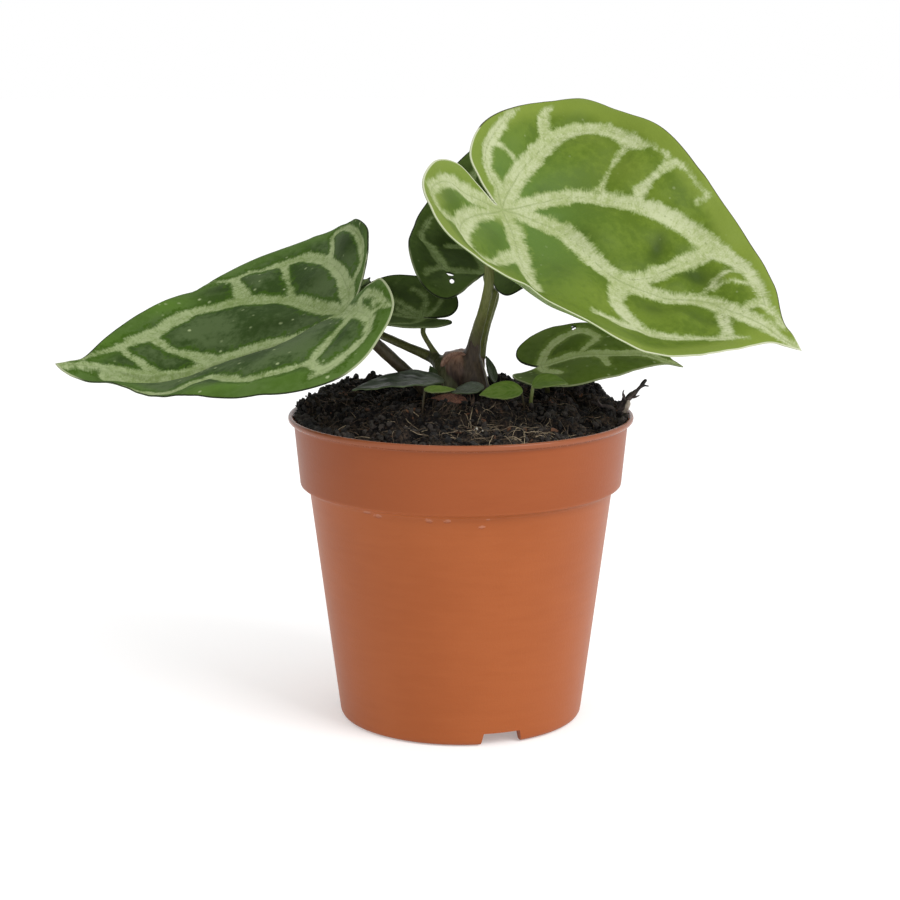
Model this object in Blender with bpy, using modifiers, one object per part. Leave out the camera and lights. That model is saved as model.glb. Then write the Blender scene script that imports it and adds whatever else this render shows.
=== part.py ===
"""A potted anthurium: five grown heart-shaped leaves and some young ones, in a notched nursery pot.

Metres, +Z up. The origin is the centre of the pot's underside, and the front of the pot is at -Y.
The plant's own values below are in millimetres and degrees, and every shape is scaled by MM.
"""

import math

import bmesh
import bpy
import numpy as np
from mathutils import Vector, noise

MM = 0.001
GAP = 0.3

# Pot
POT_HEIGHT = 107.0
LIP_RADIUS = 60.0
LIP_HEIGHT = 2.2
BAND_TOP_RADIUS = 58.0
BAND_FOOT_RADIUS = 56.1
BAND_FOOT = 83.6
LEDGE_DROP = 2.0
BODY_TOP_RADIUS = 52.8
BASE_RADIUS = 42.5
WALL = 1.3
FLOOR_LIFT = 4.6
FOOT_WIDTH = 3.4
BOSS_RADIUS = 11.0
POT_SIDES = 48
NOTCHES = 3
FIRST_NOTCH = -71.0
NOTCH_WIDTH = 15.5
NOTCH_HEIGHT = 4.2
DRAINS = 6
DRAIN_RADIUS = 3.5
DRAIN_CIRCLE = 29.0

# Soil
SOIL_EDGE = 104.2
SOIL_DOME = 9.0
SOIL_BACK_RISE = 1.8
SOIL_LUMP = 1.7
SOIL_RINGS = 13
# Heaps of peat: x, y, reach and height.
SOIL_HEAPS = ((-38, 26, 14, 4.0), (43, 20, 9, 7.0), (15, 26, 8, 5.0))
HOLE_TOP = 118.0

# Leaves
BLADE = 0.8
CREASE = 0.05
FULL_WIDTH = 0.4
DROOP_AT = (-0.35, 0.0, 0.25, 0.5, 0.75, 1.0)
SWEEP_AT = (0.0, 0.25, 0.5, 0.75, 1.0)
CURL_AT = (-0.25, 0.15, 0.55, 1.0)
SOFT_BEND = 0.16

# Half a leaf's outline, from the tip round to the notch at its base, in shares of its length:
# along the midrib, out from it, and how much of the leaf's own gap widens the notch there.
HEART = (
    (1.000, 0.000, 0.0), (0.955, 0.018, 0.0), (0.900, 0.040, 0.0), (0.820, 0.120, 0.0),
    (0.700, 0.220, 0.0), (0.540, 0.310, 0.0), (0.350, 0.378, 0.0), (0.150, 0.396, 0.0),
    (-0.040, 0.388, 0.0), (-0.190, 0.322, 0.2), (-0.285, 0.230, 0.6), (-0.310, 0.126, 0.8),
    (-0.250, 0.050, 1.0), (-0.140, 0.020, 0.6), (-0.030, 0.000, 0.0),
)
EGG = (
    (1.00, 0.00, 0.0), (0.93, 0.05, 0.0), (0.80, 0.15, 0.0), (0.62, 0.25, 0.0), (0.42, 0.31, 0.0),
    (0.22, 0.29, 0.0), (0.08, 0.19, 0.0), (0.00, 0.09, 0.0), (-0.03, 0.00, 0.0),
)

# Grown leaves. Droop runs along the midrib from the lobes to the tip, in degrees below level.
# Sweep is the midrib's turn to the left, from a quarter of the length to the tip.
# Curl runs the same way, for the left and the right half as the leaf itself points.
LEAVES = {
    "upper_right": dict(
        junction=(13.6, -8.0, 178.2), length=114, width=1.52, lobe=0.78, gap=-0.02, heading=6, roll=37,
        droop=(69, 48, 22, 24, 6, 41), sweep=(-15, -7, -24, -21), fold=3,
        curl_left=(5, 11, 19, -14), curl_right=(17, 36, 36, 57)),
    "left": dict(
        junction=(-40.1, -12.0, 143.6), length=106, width=1.52, lobe=0.77, gap=0.115, heading=167, roll=-11,
        droop=(84, 36, 16, 19, -8, -10), sweep=(-7, 18, 13, 42), fold=23,
        curl_left=(-55, -28, -18, -32), curl_right=(-5, -5, -9, 27)),
    "back": dict(
        junction=(9.2, 16.0, 154.7), length=73, width=1.06, lobe=1.09, gap=0.04, heading=81, roll=-9,
        droop=(-34, -11, -31, -59, -65, -52), sweep=(-1, 4, 9, 10), fold=20,
        curl_left=(29, 32, 13, 3), curl_right=(-4, 3, 5, 5)),
    "middle_left": dict(
        junction=(-13.5, 2.0, 140.0), length=41, width=1.08, lobe=0.97, gap=-0.015, heading=163, roll=-27,
        droop=(11, -2, -7, 4, 6, 6), sweep=(-1, -3, -5, -6), fold=16,
        curl_left=(19, 18, 16, 10), curl_right=(9, 10, 10, 7)),
    "lower_right": dict(
        junction=(28.0, 6.0, 122.5), length=51, width=1.0, lobe=0.61, gap=0.035, heading=-3, roll=21,
        droop=(33, -17, -16, 3, 7, 24), sweep=(6, 0, -7, -9), fold=10,
        curl_left=(-7, -5, -15, -7), curl_right=(25, -13, -26, -2)),
    "behind_left": dict(
        junction=(-42.0, 30.0, 141.0), length=21, width=0.9, lobe=0.9, gap=0.0, heading=62, roll=0,
        droop=(-15, -18, -23, -25, -22, -16), sweep=(0, 0, 0, 0), fold=12,
        curl_left=(5, 5, 5, 5), curl_right=(5, 5, 5, 5)),
}
POINTS_PER_HALF = {
    "upper_right": 21, "left": 21, "back": 17, "middle_left": 15, "lower_right": 15, "behind_left": 11}
RINGS = {"upper_right": 5, "left": 5, "back": 4, "middle_left": 3, "lower_right": 3, "behind_left": 2}

# Petioles: x, y, z and radius. Each goes on from its last point to the underside of its blade.
# The first three stretches of those that leave the crown above the soil belong to the crown.
STALKS = {
    "upper_right": (
        (1.5, -2.0, 118, 5.0), (3.4, -3.0, 127, 3.4), (4.7, -5.0, 132, 2.5), (6.2, -7.5, 138, 2.0),
        (7.8, -10.5, 145, 1.8), (9.4, -12.5, 153, 1.8), (9.6, -11.5, 161, 1.8), (8.8, -7.0, 169, 1.8)),
    "back": (
        (4.5, 1.0, 117, 4.0), (6.2, 3.0, 126, 2.2), (7.7, 5.5, 132, 1.6), (9.6, 8.8, 138.5, 1.4),
        (12.3, 13.0, 146, 1.3)),
    "middle_left": (
        (-3.0, -0.5, 117, 3.0), (-7.0, 0.8, 124.5, 1.7), (-9.8, 1.6, 129, 1.0), (-12.8, 2.2, 134, 0.9)),
    "behind_left": (
        (-0.5, 0.5, 118, 4.5), (-5.5, 2.0, 123.5, 3.2), (-10.5, 3.3, 126.2, 1.9), (-19.5, 5.6, 129.8, 1.5),
        (-28.0, 10.0, 133, 1.4), (-36.0, 19.0, 135.5, 1.3)),
    "left": (
        (-8.6, -0.5, 96, 2.4), (-9.2, -0.8, 107, 2.4), (-13.0, -1.4, 115.7, 2.3), (-18.8, -2.4, 121.8, 2.2),
        (-27.5, -5.5, 130.5, 2.1), (-33.5, -9.0, 137, 1.9)),
    "lower_right": ((31.0, 17.0, 97, 1.6), (30.6, 16.0, 107, 1.5), (30.0, 12.0, 114, 1.4)),
}
FROM_CROWN = ("upper_right", "back", "middle_left", "behind_left")
BASE_POINTS = 3
STALK_STEPS = 3
CROWN_AXIS = (
    (3.4, -1.0, 97, 4.6), (3.4, -1.5, 106, 6.0), (3.1, -2.0, 114, 6.8), (2.2, -2.0, 119, 7.2),
    (0.4, -2.0, 123, 7.6), (-0.8, -2.0, 126.6, 6.6), (-1.2, -2.0, 129.2, 4.6),
)

# Young leaves, each with the foot of its own stalk.
YOUNG_POINTS = 9
YOUNG_RINGS = 2
YOUNG_STEPS = 4
YOUNG = {
    "young_leaf_left": dict(
        junction=(-6.5, -13.0, 120.5), length=31, width=0.75, heading=184, roll=-12,
        droop=(0, -4, 0, 6, 10, 14), fold=8, curl=6, foot=((-5.2, -12.0, 99, 1.0), (-5.4, -12.2, 110, 0.9))),
    "young_leaf_front_left": dict(
        junction=(-12.0, -21.5, 117.5), length=11, width=0.55, heading=2, roll=30,
        droop=(0, 0, 0, 0, 0, 0), fold=10, curl=0, foot=((-13.0, -21.0, 99, 0.8), (-13.2, -21.0, 110, 0.8))),
    "young_leaf_front_grey": dict(
        junction=(7.5, -17.0, 119.0), length=11, width=0.95, heading=184, roll=-25,
        droop=(0, 0, 5, 10, 15, 15), fold=6, curl=-8, foot=((6.5, -16.5, 99, 0.8), (6.6, -16.5, 110, 0.8))),
    "young_leaf_front": dict(
        junction=(20.4, -20.5, 118.2), length=14.5, width=0.95, heading=181, roll=-35,
        droop=(0, -6, 0, 6, 10, 14), fold=6, curl=4, foot=((21.5, -17.0, 99, 0.8), (21.6, -17.2, 110, 0.8))),
    "young_leaf_front_right": dict(
        junction=(24.4, -16.5, 119.2), length=12.5, width=0.95, heading=3, roll=28,
        droop=(0, -28, -18, 0, 10, 15), fold=10, curl=6,
        foot=((23.8, -15.0, 98, 0.8), (23.6, -15.2, 111, 0.8))),
    "young_leaf_crown_left": dict(
        junction=(-7.6, -7.0, 117.5), length=8.0, width=1.0, heading=140, roll=-20,
        droop=(-40, -60, -60, -60, -60, -60), fold=10, curl=10,
        foot=((-6.2, -7.6, 101, 0.8), (-6.6, -7.5, 110, 0.8))),
    "young_leaf_crown_right": dict(
        junction=(11.8, 5.5, 117.0), length=9.5, width=0.8, heading=150, roll=-10,
        droop=(-50, -70, -70, -70, -70, -70), fold=10, curl=10,
        foot=((13.4, 5.5, 101, 0.8), (13.2, 5.5, 110, 0.8))),
    "bract_front": dict(
        junction=(1.5, -18.5, 114.6), length=12, width=0.7, heading=168, roll=-25,
        droop=(0, -14, -10, 0, 5, 10), fold=0, curl=-20,
        foot=((2.6, -18.4, 99, 1.0), (2.4, -18.5, 108, 1.0))),
}
ROOT = (
    (50.5, 2.0, 98, 1.6), (54.0, 1.0, 106, 1.8), (56.6, 0.0, 110.8, 1.7), (60.0, -0.6, 113.6, 1.2),
    (63.8, -1.0, 118.6, 0.7),
)
ROOT_STEPS = 3

COLOURS = {
    "pot": ((0.40, 0.11, 0.05), 0.42),
    "soil": ((0.03, 0.02, 0.015), 0.95),
    "crown": ((0.20, 0.10, 0.05), 0.6),
    "stalk": ((0.16, 0.20, 0.05), 0.5),
    "bright_blade": ((0.20, 0.36, 0.06), 0.4),
    "dark_blade": ((0.05, 0.13, 0.04), 0.4),
    "young_blade": ((0.17, 0.34, 0.05), 0.4),
    "bract": ((0.32, 0.08, 0.04), 0.6),
    "root": ((0.06, 0.04, 0.03), 0.9),
}


def clear_scene():
    for thing in list(bpy.data.objects):
        bpy.data.objects.remove(thing, do_unlink=True)


def new_collection(name):
    made = bpy.data.collections.new(name)
    bpy.context.scene.collection.children.link(made)
    return made


def material(name):
    if name in bpy.data.materials:
        return bpy.data.materials[name]
    colour, roughness = COLOURS[name]
    made = bpy.data.materials.new(name)
    made.use_nodes = True
    shader = made.node_tree.nodes["Principled BSDF"]
    shader.inputs["Base Color"].default_value = (*colour, 1)
    shader.inputs["Roughness"].default_value = roughness
    return made


def add_object(name, mesh, collection, finish=None):
    made = bpy.data.objects.new(name, mesh)
    collection.objects.link(made)
    if finish:
        mesh.materials.clear()
        mesh.materials.append(material(finish))
        mesh.shade_smooth()
        mesh.set_sharp_from_angle(angle=math.radians(40))
    else:
        made.hide_render = True
        made.display_type = "WIRE"
    return made


def baked(thing):
    """The object's mesh with its modifiers applied and its loose caps welded."""
    bpy.context.view_layer.update()
    graph = bpy.context.evaluated_depsgraph_get()
    mesh = bpy.data.meshes.new_from_object(thing.evaluated_get(graph))
    mesh.transform(thing.matrix_world)
    shape = bmesh.new()
    shape.from_mesh(mesh)
    bmesh.ops.remove_doubles(shape, verts=shape.verts, dist=0.00001)
    shape.to_mesh(mesh)
    shape.free()
    return mesh


def lathe(name, profile, collection, finish):
    """A closed turned shape from radius and height pairs, run down its outer side first."""
    mesh = bpy.data.meshes.new(name)
    shape = bmesh.new()
    points = [shape.verts.new((radius * MM, 0, height * MM)) for radius, height in profile]
    for first, second in zip(points, points[1:]):
        shape.edges.new((first, second))
    shape.to_mesh(mesh)
    shape.free()
    turned = add_object(name, mesh, collection, finish)
    screw = turned.modifiers.new("turn", "SCREW")
    screw.steps = screw.render_steps = POT_SIDES
    screw.use_merge_vertices = True
    screw.merge_threshold = 0.0001
    return turned


def apply_modifiers(thing, finish):
    mesh = baked(thing)
    mesh.materials.clear()
    mesh.materials.append(material(finish))
    thing.modifiers.clear()
    thing.data = mesh
    return thing


def combine(thing, others, operation, finish):
    """One Boolean on a collection of the other objects, which it then removes."""
    group = new_collection(thing.name + "_" + operation.lower())
    for other in others:
        for owner in list(other.users_collection):
            owner.objects.unlink(other)
        group.objects.link(other)
    boolean = thing.modifiers.new(operation.lower(), "BOOLEAN")
    boolean.operation = operation
    boolean.operand_type = "COLLECTION"
    boolean.collection = group
    boolean.solver = "EXACT"
    apply_modifiers(thing, finish)
    for other in others:
        bpy.data.objects.remove(other, do_unlink=True)
    bpy.data.collections.remove(group)
    return thing


def through(points, count):
    """A smooth curve through the points, read at evenly spread places along their list."""
    points = np.vstack([2 * points[0] - points[1], points, 2 * points[-1] - points[-2]])
    place = np.linspace(0, len(points) - 3, count)
    first = np.minimum(place.astype(int), len(points) - 4)
    t = (place - first)[:, None]
    a, b, c, d = (points[first + k] for k in range(4))
    return b + 0.5 * t * (c - a + t * (2 * a - 5 * b + 4 * c - d + t * (3 * b - a - 3 * c + d)))


def half_outline(leaf, count):
    """Places along and out from the midrib, from the tip to the notch, in shares of the length."""
    points = np.array(leaf["outline"])
    along = np.where(points[:, 0] < 0, points[:, 0] * leaf["lobe"], points[:, 0])
    across = (points[:, 1] + points[:, 2] * leaf["gap"]) * leaf["width"]
    return through(np.stack([along, across], 1), count)


def softened(values, step):
    """The values along a midrib, each averaged with its neighbours so that the halves never fold."""
    reach = int(3 * SOFT_BEND / step)
    weight = np.exp(-0.5 * (np.arange(-reach, reach + 1) * step / SOFT_BEND) ** 2)
    return np.convolve(np.pad(values, reach, mode="edge"), weight / weight.sum(), "valid")


def lay(leaf, flat):
    """Bends flat blade places into the leaf: a drooping, sweeping midrib with a curled half each side."""
    u, v = flat[..., 0], flat[..., 1]
    station = np.linspace(-0.5, 1.05, 156)
    step = station[1] - station[0]
    droop = np.radians(np.interp(station, DROOP_AT, leaf["droop"]))
    sweep = np.radians(np.interp(station, SWEEP_AT, (0, *leaf["sweep"])))
    slope = np.stack([np.cos(droop) * np.cos(sweep), np.cos(droop) * np.sin(sweep), -np.sin(droop)])
    spine = np.cumsum(slope, axis=1) * step
    spine -= np.array([np.interp(0, station, row) for row in spine])[:, None]
    centre = [np.interp(u, station, row) for row in spine]
    side, away = np.sign(v), np.abs(v)
    curls = [np.interp(u, CURL_AT, leaf[half]) for half in ("curl_left", "curl_right")]
    curl = np.radians(np.where(v > 0, curls[0], curls[1])) / FULL_WIDTH
    fold = math.radians(leaf["fold"])
    out, up = np.zeros_like(away), np.zeros_like(away)
    for part in (np.arange(6) + 0.5) / 6:
        tilt = fold * (1 - np.exp(-away * part / CREASE)) + curl * away * part
        out += np.cos(tilt) * away / 6
        up += np.sin(tilt) * away / 6
    roll = math.radians(leaf["roll"])
    left = side * out * math.cos(roll) - up * math.sin(roll)
    rise = side * out * math.sin(roll) + up * math.cos(roll)
    down, turn = (np.interp(u, station, softened(angle, step)) for angle in (droop, sweep))
    x = centre[0] + rise * np.sin(down) * np.cos(turn) - left * np.sin(turn)
    y = centre[1] + rise * np.sin(down) * np.sin(turn) + left * np.cos(turn)
    z = centre[2] + rise * np.cos(down)
    c, s = math.cos(math.radians(leaf["heading"])), math.sin(math.radians(leaf["heading"]))
    return np.stack([x * c - y * s, x * s + y * c, z], -1) * leaf["length"] + np.array(leaf["junction"])


def facing(leaf):
    """The unit vector out of the blade's upper side where its stalk joins it."""
    small = 0.004
    back, front, right, left = lay(leaf, np.array([(-small, 0), (small, 0), (0, -small), (0, small)]))
    normal = np.cross(front - back, left - right)
    return normal / np.linalg.norm(normal)


def blade_mesh(name, leaf, points_per_half, rings):
    """Rings round the stalk's junction out to the margin, the same on both faces, and a rim between."""
    half = half_outline(leaf, points_per_half)
    margin = np.vstack([half, half[-2:0:-1] * (1, -1)])
    count = len(margin)
    shares = (np.arange(rings) + 1) / rings
    flat = np.vstack([[(0, 0)], *(margin * share for share in shares)])
    middle = lay(leaf, flat)
    faces = [(0, 1 + k, 1 + (k + 1) % count) for k in range(count)]
    for ring in range(rings - 1):
        inner, outer = 1 + ring * count, 1 + (ring + 1) * count
        for k in range(count):
            after = (k + 1) % count
            faces.append((inner + k, outer + k, outer + after))
            faces.append((inner + k, outer + after, inner + after))
    corners = middle[np.array(faces)]
    across = np.cross(corners[:, 1] - corners[:, 0], corners[:, 2] - corners[:, 0])
    normals = np.zeros_like(middle)
    for corner in range(3):
        np.add.at(normals, np.array(faces)[:, corner], across)
    normals /= np.linalg.norm(normals, axis=1)[:, None]
    below, above = middle - normals * BLADE / 2, middle + normals * BLADE / 2
    total = len(middle)
    last = 1 + (rings - 1) * count
    shape = bmesh.new()
    verts = [shape.verts.new(Vector(place) * MM) for place in np.vstack([below, above])]
    for a, b, c in faces:
        shape.faces.new((verts[a], verts[c], verts[b]))
        shape.faces.new((verts[total + a], verts[total + b], verts[total + c]))
    for k in range(count):
        low, after = last + k, last + (k + 1) % count
        shape.faces.new((verts[low], verts[after], verts[total + after]))
        shape.faces.new((verts[low], verts[total + after], verts[total + low]))
    bmesh.ops.recalc_face_normals(shape, faces=shape.faces)
    mesh = bpy.data.meshes.new(name)
    shape.to_mesh(mesh)
    shape.free()
    return mesh


def tube(name, route, collection, finish=None, wider=0.0):
    """A round stem along rows of x, y, z and radius, with flat closed ends."""
    data = bpy.data.curves.new(name, "CURVE")
    data.dimensions = "3D"
    data.bevel_depth = MM
    data.bevel_resolution = 2
    data.use_fill_caps = True
    spline = data.splines.new("POLY")
    spline.points.add(len(route) - 1)
    for point, (x, y, z, radius) in zip(spline.points, route):
        point.co = (x * MM, y * MM, z * MM, 1)
        point.radius = radius + wider
    curve = bpy.data.objects.new(name + "_curve", data)
    collection.objects.link(curve)
    mesh = baked(curve)
    bpy.data.objects.remove(curve, do_unlink=True)
    return add_object(name, mesh, collection, finish)


def stalk_route(leaf, points):
    """A smooth route through a stalk's points, ending square on just under its blade."""
    outward = facing(leaf)
    seat = np.array(leaf["junction"]) - outward * (BLADE / 2 + GAP)
    radius = points[-1][3]
    ends = [(*(seat - outward * 4 * radius), radius), (*seat, radius)]
    rows = np.array([*points, *ends], float)
    route = through(rows, (len(rows) - 1) * STALK_STEPS + 1)
    route[-2, :3] = seat - outward * radius
    return route


def soil_hole(name, route, collection):
    """A cutter that follows a stem from its foot to well above the soil."""
    rows = [row for row in route if row[2] < HOLE_TOP]
    x, y, z, radius = rows[-1]
    rows.append((x, y, HOLE_TOP + 2, radius))
    return tube("hole_" + name, rows, collection, wider=GAP)


def split_route(route):
    """The crown's share of a stalk, and the free stalk past it, with a gap between their ends."""
    cut = (BASE_POINTS - 1) * STALK_STEPS
    free = route[cut:].copy()
    step = free[1, :3] - free[0, :3]
    free[0, :3] += step / np.linalg.norm(step) * GAP
    return route[:cut + 1], free


def soil_height(x, y):
    """The soil's height at a place: a low dome, higher at the back, with lumps and a few heaps."""
    radius = math.hypot(x, y)
    place = Vector((x, y, 0))
    lumps = noise.noise(place / 9.0) + 0.6 * noise.noise(place / 4.5 + Vector((7, 3, 1)))
    dome = SOIL_DOME * (1 - (radius / BAND_FOOT_RADIUS) ** 2)
    heaps = 0
    for heap_x, heap_y, reach, high in SOIL_HEAPS:
        heaps += high * math.exp(-math.dist((x, y), (heap_x, heap_y)) ** 2 / reach**2)
    return SOIL_EDGE + dome + heaps + SOIL_BACK_RISE * y / BAND_FOOT_RADIUS + SOIL_LUMP * lumps


def outer_wall():
    """Radius and height pairs down the outside of the pot, from the lip to the foot."""
    under_lip = POT_HEIGHT - LIP_HEIGHT
    ledge = BAND_FOOT - LEDGE_DROP
    return [
        (LIP_RADIUS - 1.0, POT_HEIGHT), (LIP_RADIUS - 0.3, POT_HEIGHT - 0.3),
        (LIP_RADIUS, POT_HEIGHT - 1.0), (LIP_RADIUS - 0.3, under_lip + 0.4),
        (BAND_TOP_RADIUS, under_lip - 0.4), (BAND_FOOT_RADIUS, BAND_FOOT),
        (BAND_FOOT_RADIUS - 0.6, BAND_FOOT - 1.0), (BODY_TOP_RADIUS + 0.7, ledge + 0.3),
        (BODY_TOP_RADIUS, ledge - 1.0), (BASE_RADIUS + 0.3, 1.6),
        (BASE_RADIUS - 0.5, 0.4), (BASE_RADIUS - 1.2, 0.0),
    ]


def inner_wall(inset):
    """The pot's inside from its floor up to the lip, drawn in by a clearance."""
    floor = FLOOR_LIFT + WALL + inset
    ledge = BAND_FOOT - LEDGE_DROP - 1.0 + WALL
    return [
        (BASE_RADIUS - WALL - 0.2 - inset, floor), (BODY_TOP_RADIUS - WALL - inset, ledge),
        (BAND_FOOT_RADIUS - WALL - 0.4 - inset, ledge + LEDGE_DROP + 0.6),
        (BAND_TOP_RADIUS - WALL - inset, POT_HEIGHT - LIP_HEIGHT),
    ]


def make_pot(parts, cutters):
    foot = BASE_RADIUS - FOOT_WIDTH
    boss = BOSS_RADIUS
    underside = [(foot, 0), (foot - 0.4, FLOOR_LIFT), (boss + 0.6, FLOOR_LIFT), (boss, 0), (0, 0)]
    inside = [(0, FLOOR_LIFT + WALL), *inner_wall(0), (LIP_RADIUS - 2.0, POT_HEIGHT)]
    profile = outer_wall() + underside
    pot = lathe("pot", profile + inside + profile[:1], parts, "pot")
    holes = []
    for number in range(NOTCHES):
        angle = math.radians(FIRST_NOTCH + number * 360 / NOTCHES)
        holes.append(notch_cutter(angle, cutters))
    for number in range(DRAINS):
        angle = math.radians(FIRST_NOTCH + (number + 0.5) * 360 / DRAINS)
        bpy.ops.mesh.primitive_cylinder_add(
            vertices=12, radius=DRAIN_RADIUS * MM, depth=4 * WALL * MM,
            location=(DRAIN_CIRCLE * MM * math.cos(angle), DRAIN_CIRCLE * MM * math.sin(angle),
                      (FLOOR_LIFT + WALL / 2) * MM))
        holes.append(bpy.context.object)
    return combine(pot, holes, "DIFFERENCE", "pot")


def notch_cutter(angle, cutters):
    """A slot through the foot ring with leaning sides, wider at the bottom."""
    bpy.ops.mesh.primitive_cube_add(size=1)
    cutter = bpy.context.object
    cutter.name = "notch"
    depth = 3 * FOOT_WIDTH
    for vertex in cutter.data.vertices:
        x, y, z = vertex.co
        wide = NOTCH_WIDTH if z < 0 else NOTCH_WIDTH - 2.5
        height = NOTCH_HEIGHT if z > 0 else -2.0
        vertex.co = Vector(((x * depth + BASE_RADIUS - FOOT_WIDTH / 2), y * wide, height)) * MM
    cutter.rotation_euler.z = angle
    return cutter


def make_soil(parts, holes):
    side = inner_wall(GAP)[::-1]
    shoulder = SOIL_EDGE - 3.0
    low_radius, low = side[1]
    share = (shoulder - low) / (side[0][1] - low)
    side[0] = (low_radius + share * (side[0][0] - low_radius), shoulder)
    edge = side[0][0] - 1.2
    top = [(edge * ring / SOIL_RINGS, SOIL_EDGE) for ring in range(SOIL_RINGS + 1)]
    soil = lathe("soil", top + side + [(0, FLOOR_LIFT + WALL + GAP)], parts, "soil")
    apply_modifiers(soil, "soil")
    for vertex in soil.data.vertices:
        x, y, z = vertex.co / MM
        if z > SOIL_EDGE - 0.1:
            vertex.co.z = soil_height(x, y) * MM
    return combine(soil, holes, "DIFFERENCE", "soil")


def make_plant(parts, cutters):
    """Every leaf, stalk and the crown. Returns the cutters for the holes they stand in."""
    axis = through(np.array(CROWN_AXIS, float), (len(CROWN_AXIS) - 1) * 2 + 1)
    crown = tube("crown", axis, parts, "crown")
    holes = [soil_hole("crown", axis, cutters)]
    bases = []
    for name, leaf in LEAVES.items():
        leaf["outline"] = HEART
        finish = "bright_blade" if name in ("upper_right", "lower_right") else "dark_blade"
        mesh = blade_mesh("blade_" + name, leaf, POINTS_PER_HALF[name], RINGS[name])
        add_object("blade_" + name, mesh, parts, finish)
        route = stalk_route(leaf, STALKS[name])
        if name in FROM_CROWN:
            base, route = split_route(route)
            bases.append(tube("base_" + name, base, cutters))
        else:
            holes.append(soil_hole(name, route, cutters))
        tube("stalk_" + name, route, parts, "stalk")
    combine(crown, bases, "UNION", "crown")
    for name, values in YOUNG.items():
        leaf = dict(values, outline=EGG, lobe=1, gap=0, sweep=(0, 0, 0, 0))
        leaf["curl_left"] = leaf["curl_right"] = (values["curl"],) * 4
        finish = "bract" if name.startswith("bract") else "young_blade"
        young = add_object(name, blade_mesh(name, leaf, YOUNG_POINTS, YOUNG_RINGS), parts, finish)
        rows = [*values["foot"], (*values["junction"], values["foot"][-1][3])]
        route = through(np.array(rows, float), (len(rows) - 1) * YOUNG_STEPS + 1)
        holes.append(soil_hole(name, route, cutters))
        combine(young, [tube("stem_" + name, route, cutters)], "UNION", finish)
    route = through(np.array(ROOT), (len(ROOT) - 1) * ROOT_STEPS + 1)
    tube("root_at_rim", route, parts, "root")
    holes.append(soil_hole("root", route, cutters))
    return holes


def main():
    clear_scene()
    parts = new_collection("potted_anthurium")
    cutters = new_collection("cutters")
    make_pot(parts, cutters)
    holes = make_plant(parts, cutters)
    make_soil(parts, holes)


main()
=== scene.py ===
"""The potted anthurium dressed for its picture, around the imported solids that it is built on.

Lengths are in millimetres and turned to metres by MM where a mesh is made. +Z is up and the front
of the pot is at -Y. A leaf's own places are shares of its length, along and out from its midrib.
"""

import math
import random

import bmesh
import bpy
import numpy as np
from mathutils import Matrix, Vector, noise


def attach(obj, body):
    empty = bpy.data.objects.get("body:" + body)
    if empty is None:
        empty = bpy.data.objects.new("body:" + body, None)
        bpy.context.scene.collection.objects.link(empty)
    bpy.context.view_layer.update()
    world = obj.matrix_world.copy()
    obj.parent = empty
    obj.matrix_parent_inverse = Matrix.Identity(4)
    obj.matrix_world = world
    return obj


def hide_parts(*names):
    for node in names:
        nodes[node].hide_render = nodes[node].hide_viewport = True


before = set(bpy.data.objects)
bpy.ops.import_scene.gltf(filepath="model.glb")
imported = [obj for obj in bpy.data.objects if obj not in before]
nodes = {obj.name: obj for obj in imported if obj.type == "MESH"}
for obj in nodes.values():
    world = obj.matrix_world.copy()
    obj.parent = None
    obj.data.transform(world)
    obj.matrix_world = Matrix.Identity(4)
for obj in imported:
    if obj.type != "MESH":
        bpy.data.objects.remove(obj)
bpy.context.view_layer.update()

MM = 0.001

# Leaf form in shares of the length, as the solids have it: how far from the midrib the fold turns,
# the half width that a curl is given for, the places of the bends, and how far one is softened.
CREASE = 0.05
FULL_WIDTH = 0.4
DROOP_AT = (-0.35, 0.0, 0.25, 0.5, 0.75, 1.0)
SWEEP_AT = (0.0, 0.25, 0.5, 0.75, 1.0)
CURL_AT = (-0.25, 0.15, 0.55, 1.0)
SOFT_BEND = 0.16
# The blades' thickness here in millimetres, which is less than the solids have.
BLADE = 0.55

# Half an outline from the tip to the notch: along, out, and the share of the leaf's own gap there.
HEART = (
    (1.000, 0.000, 0.0), (0.955, 0.018, 0.0), (0.900, 0.040, 0.0), (0.820, 0.120, 0.0),
    (0.700, 0.220, 0.0), (0.540, 0.310, 0.0), (0.350, 0.378, 0.0), (0.150, 0.396, 0.0),
    (-0.040, 0.388, 0.0), (-0.190, 0.322, 0.2), (-0.285, 0.230, 0.6), (-0.310, 0.126, 0.8),
    (-0.250, 0.050, 1.0), (-0.140, 0.020, 0.6), (-0.030, 0.000, 0.0),
)
EGG = (
    (1.00, 0.00, 0.0), (0.93, 0.05, 0.0), (0.80, 0.15, 0.0), (0.62, 0.25, 0.0), (0.42, 0.31, 0.0),
    (0.22, 0.29, 0.0), (0.08, 0.19, 0.0), (0.00, 0.09, 0.0), (-0.03, 0.00, 0.0),
)

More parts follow.
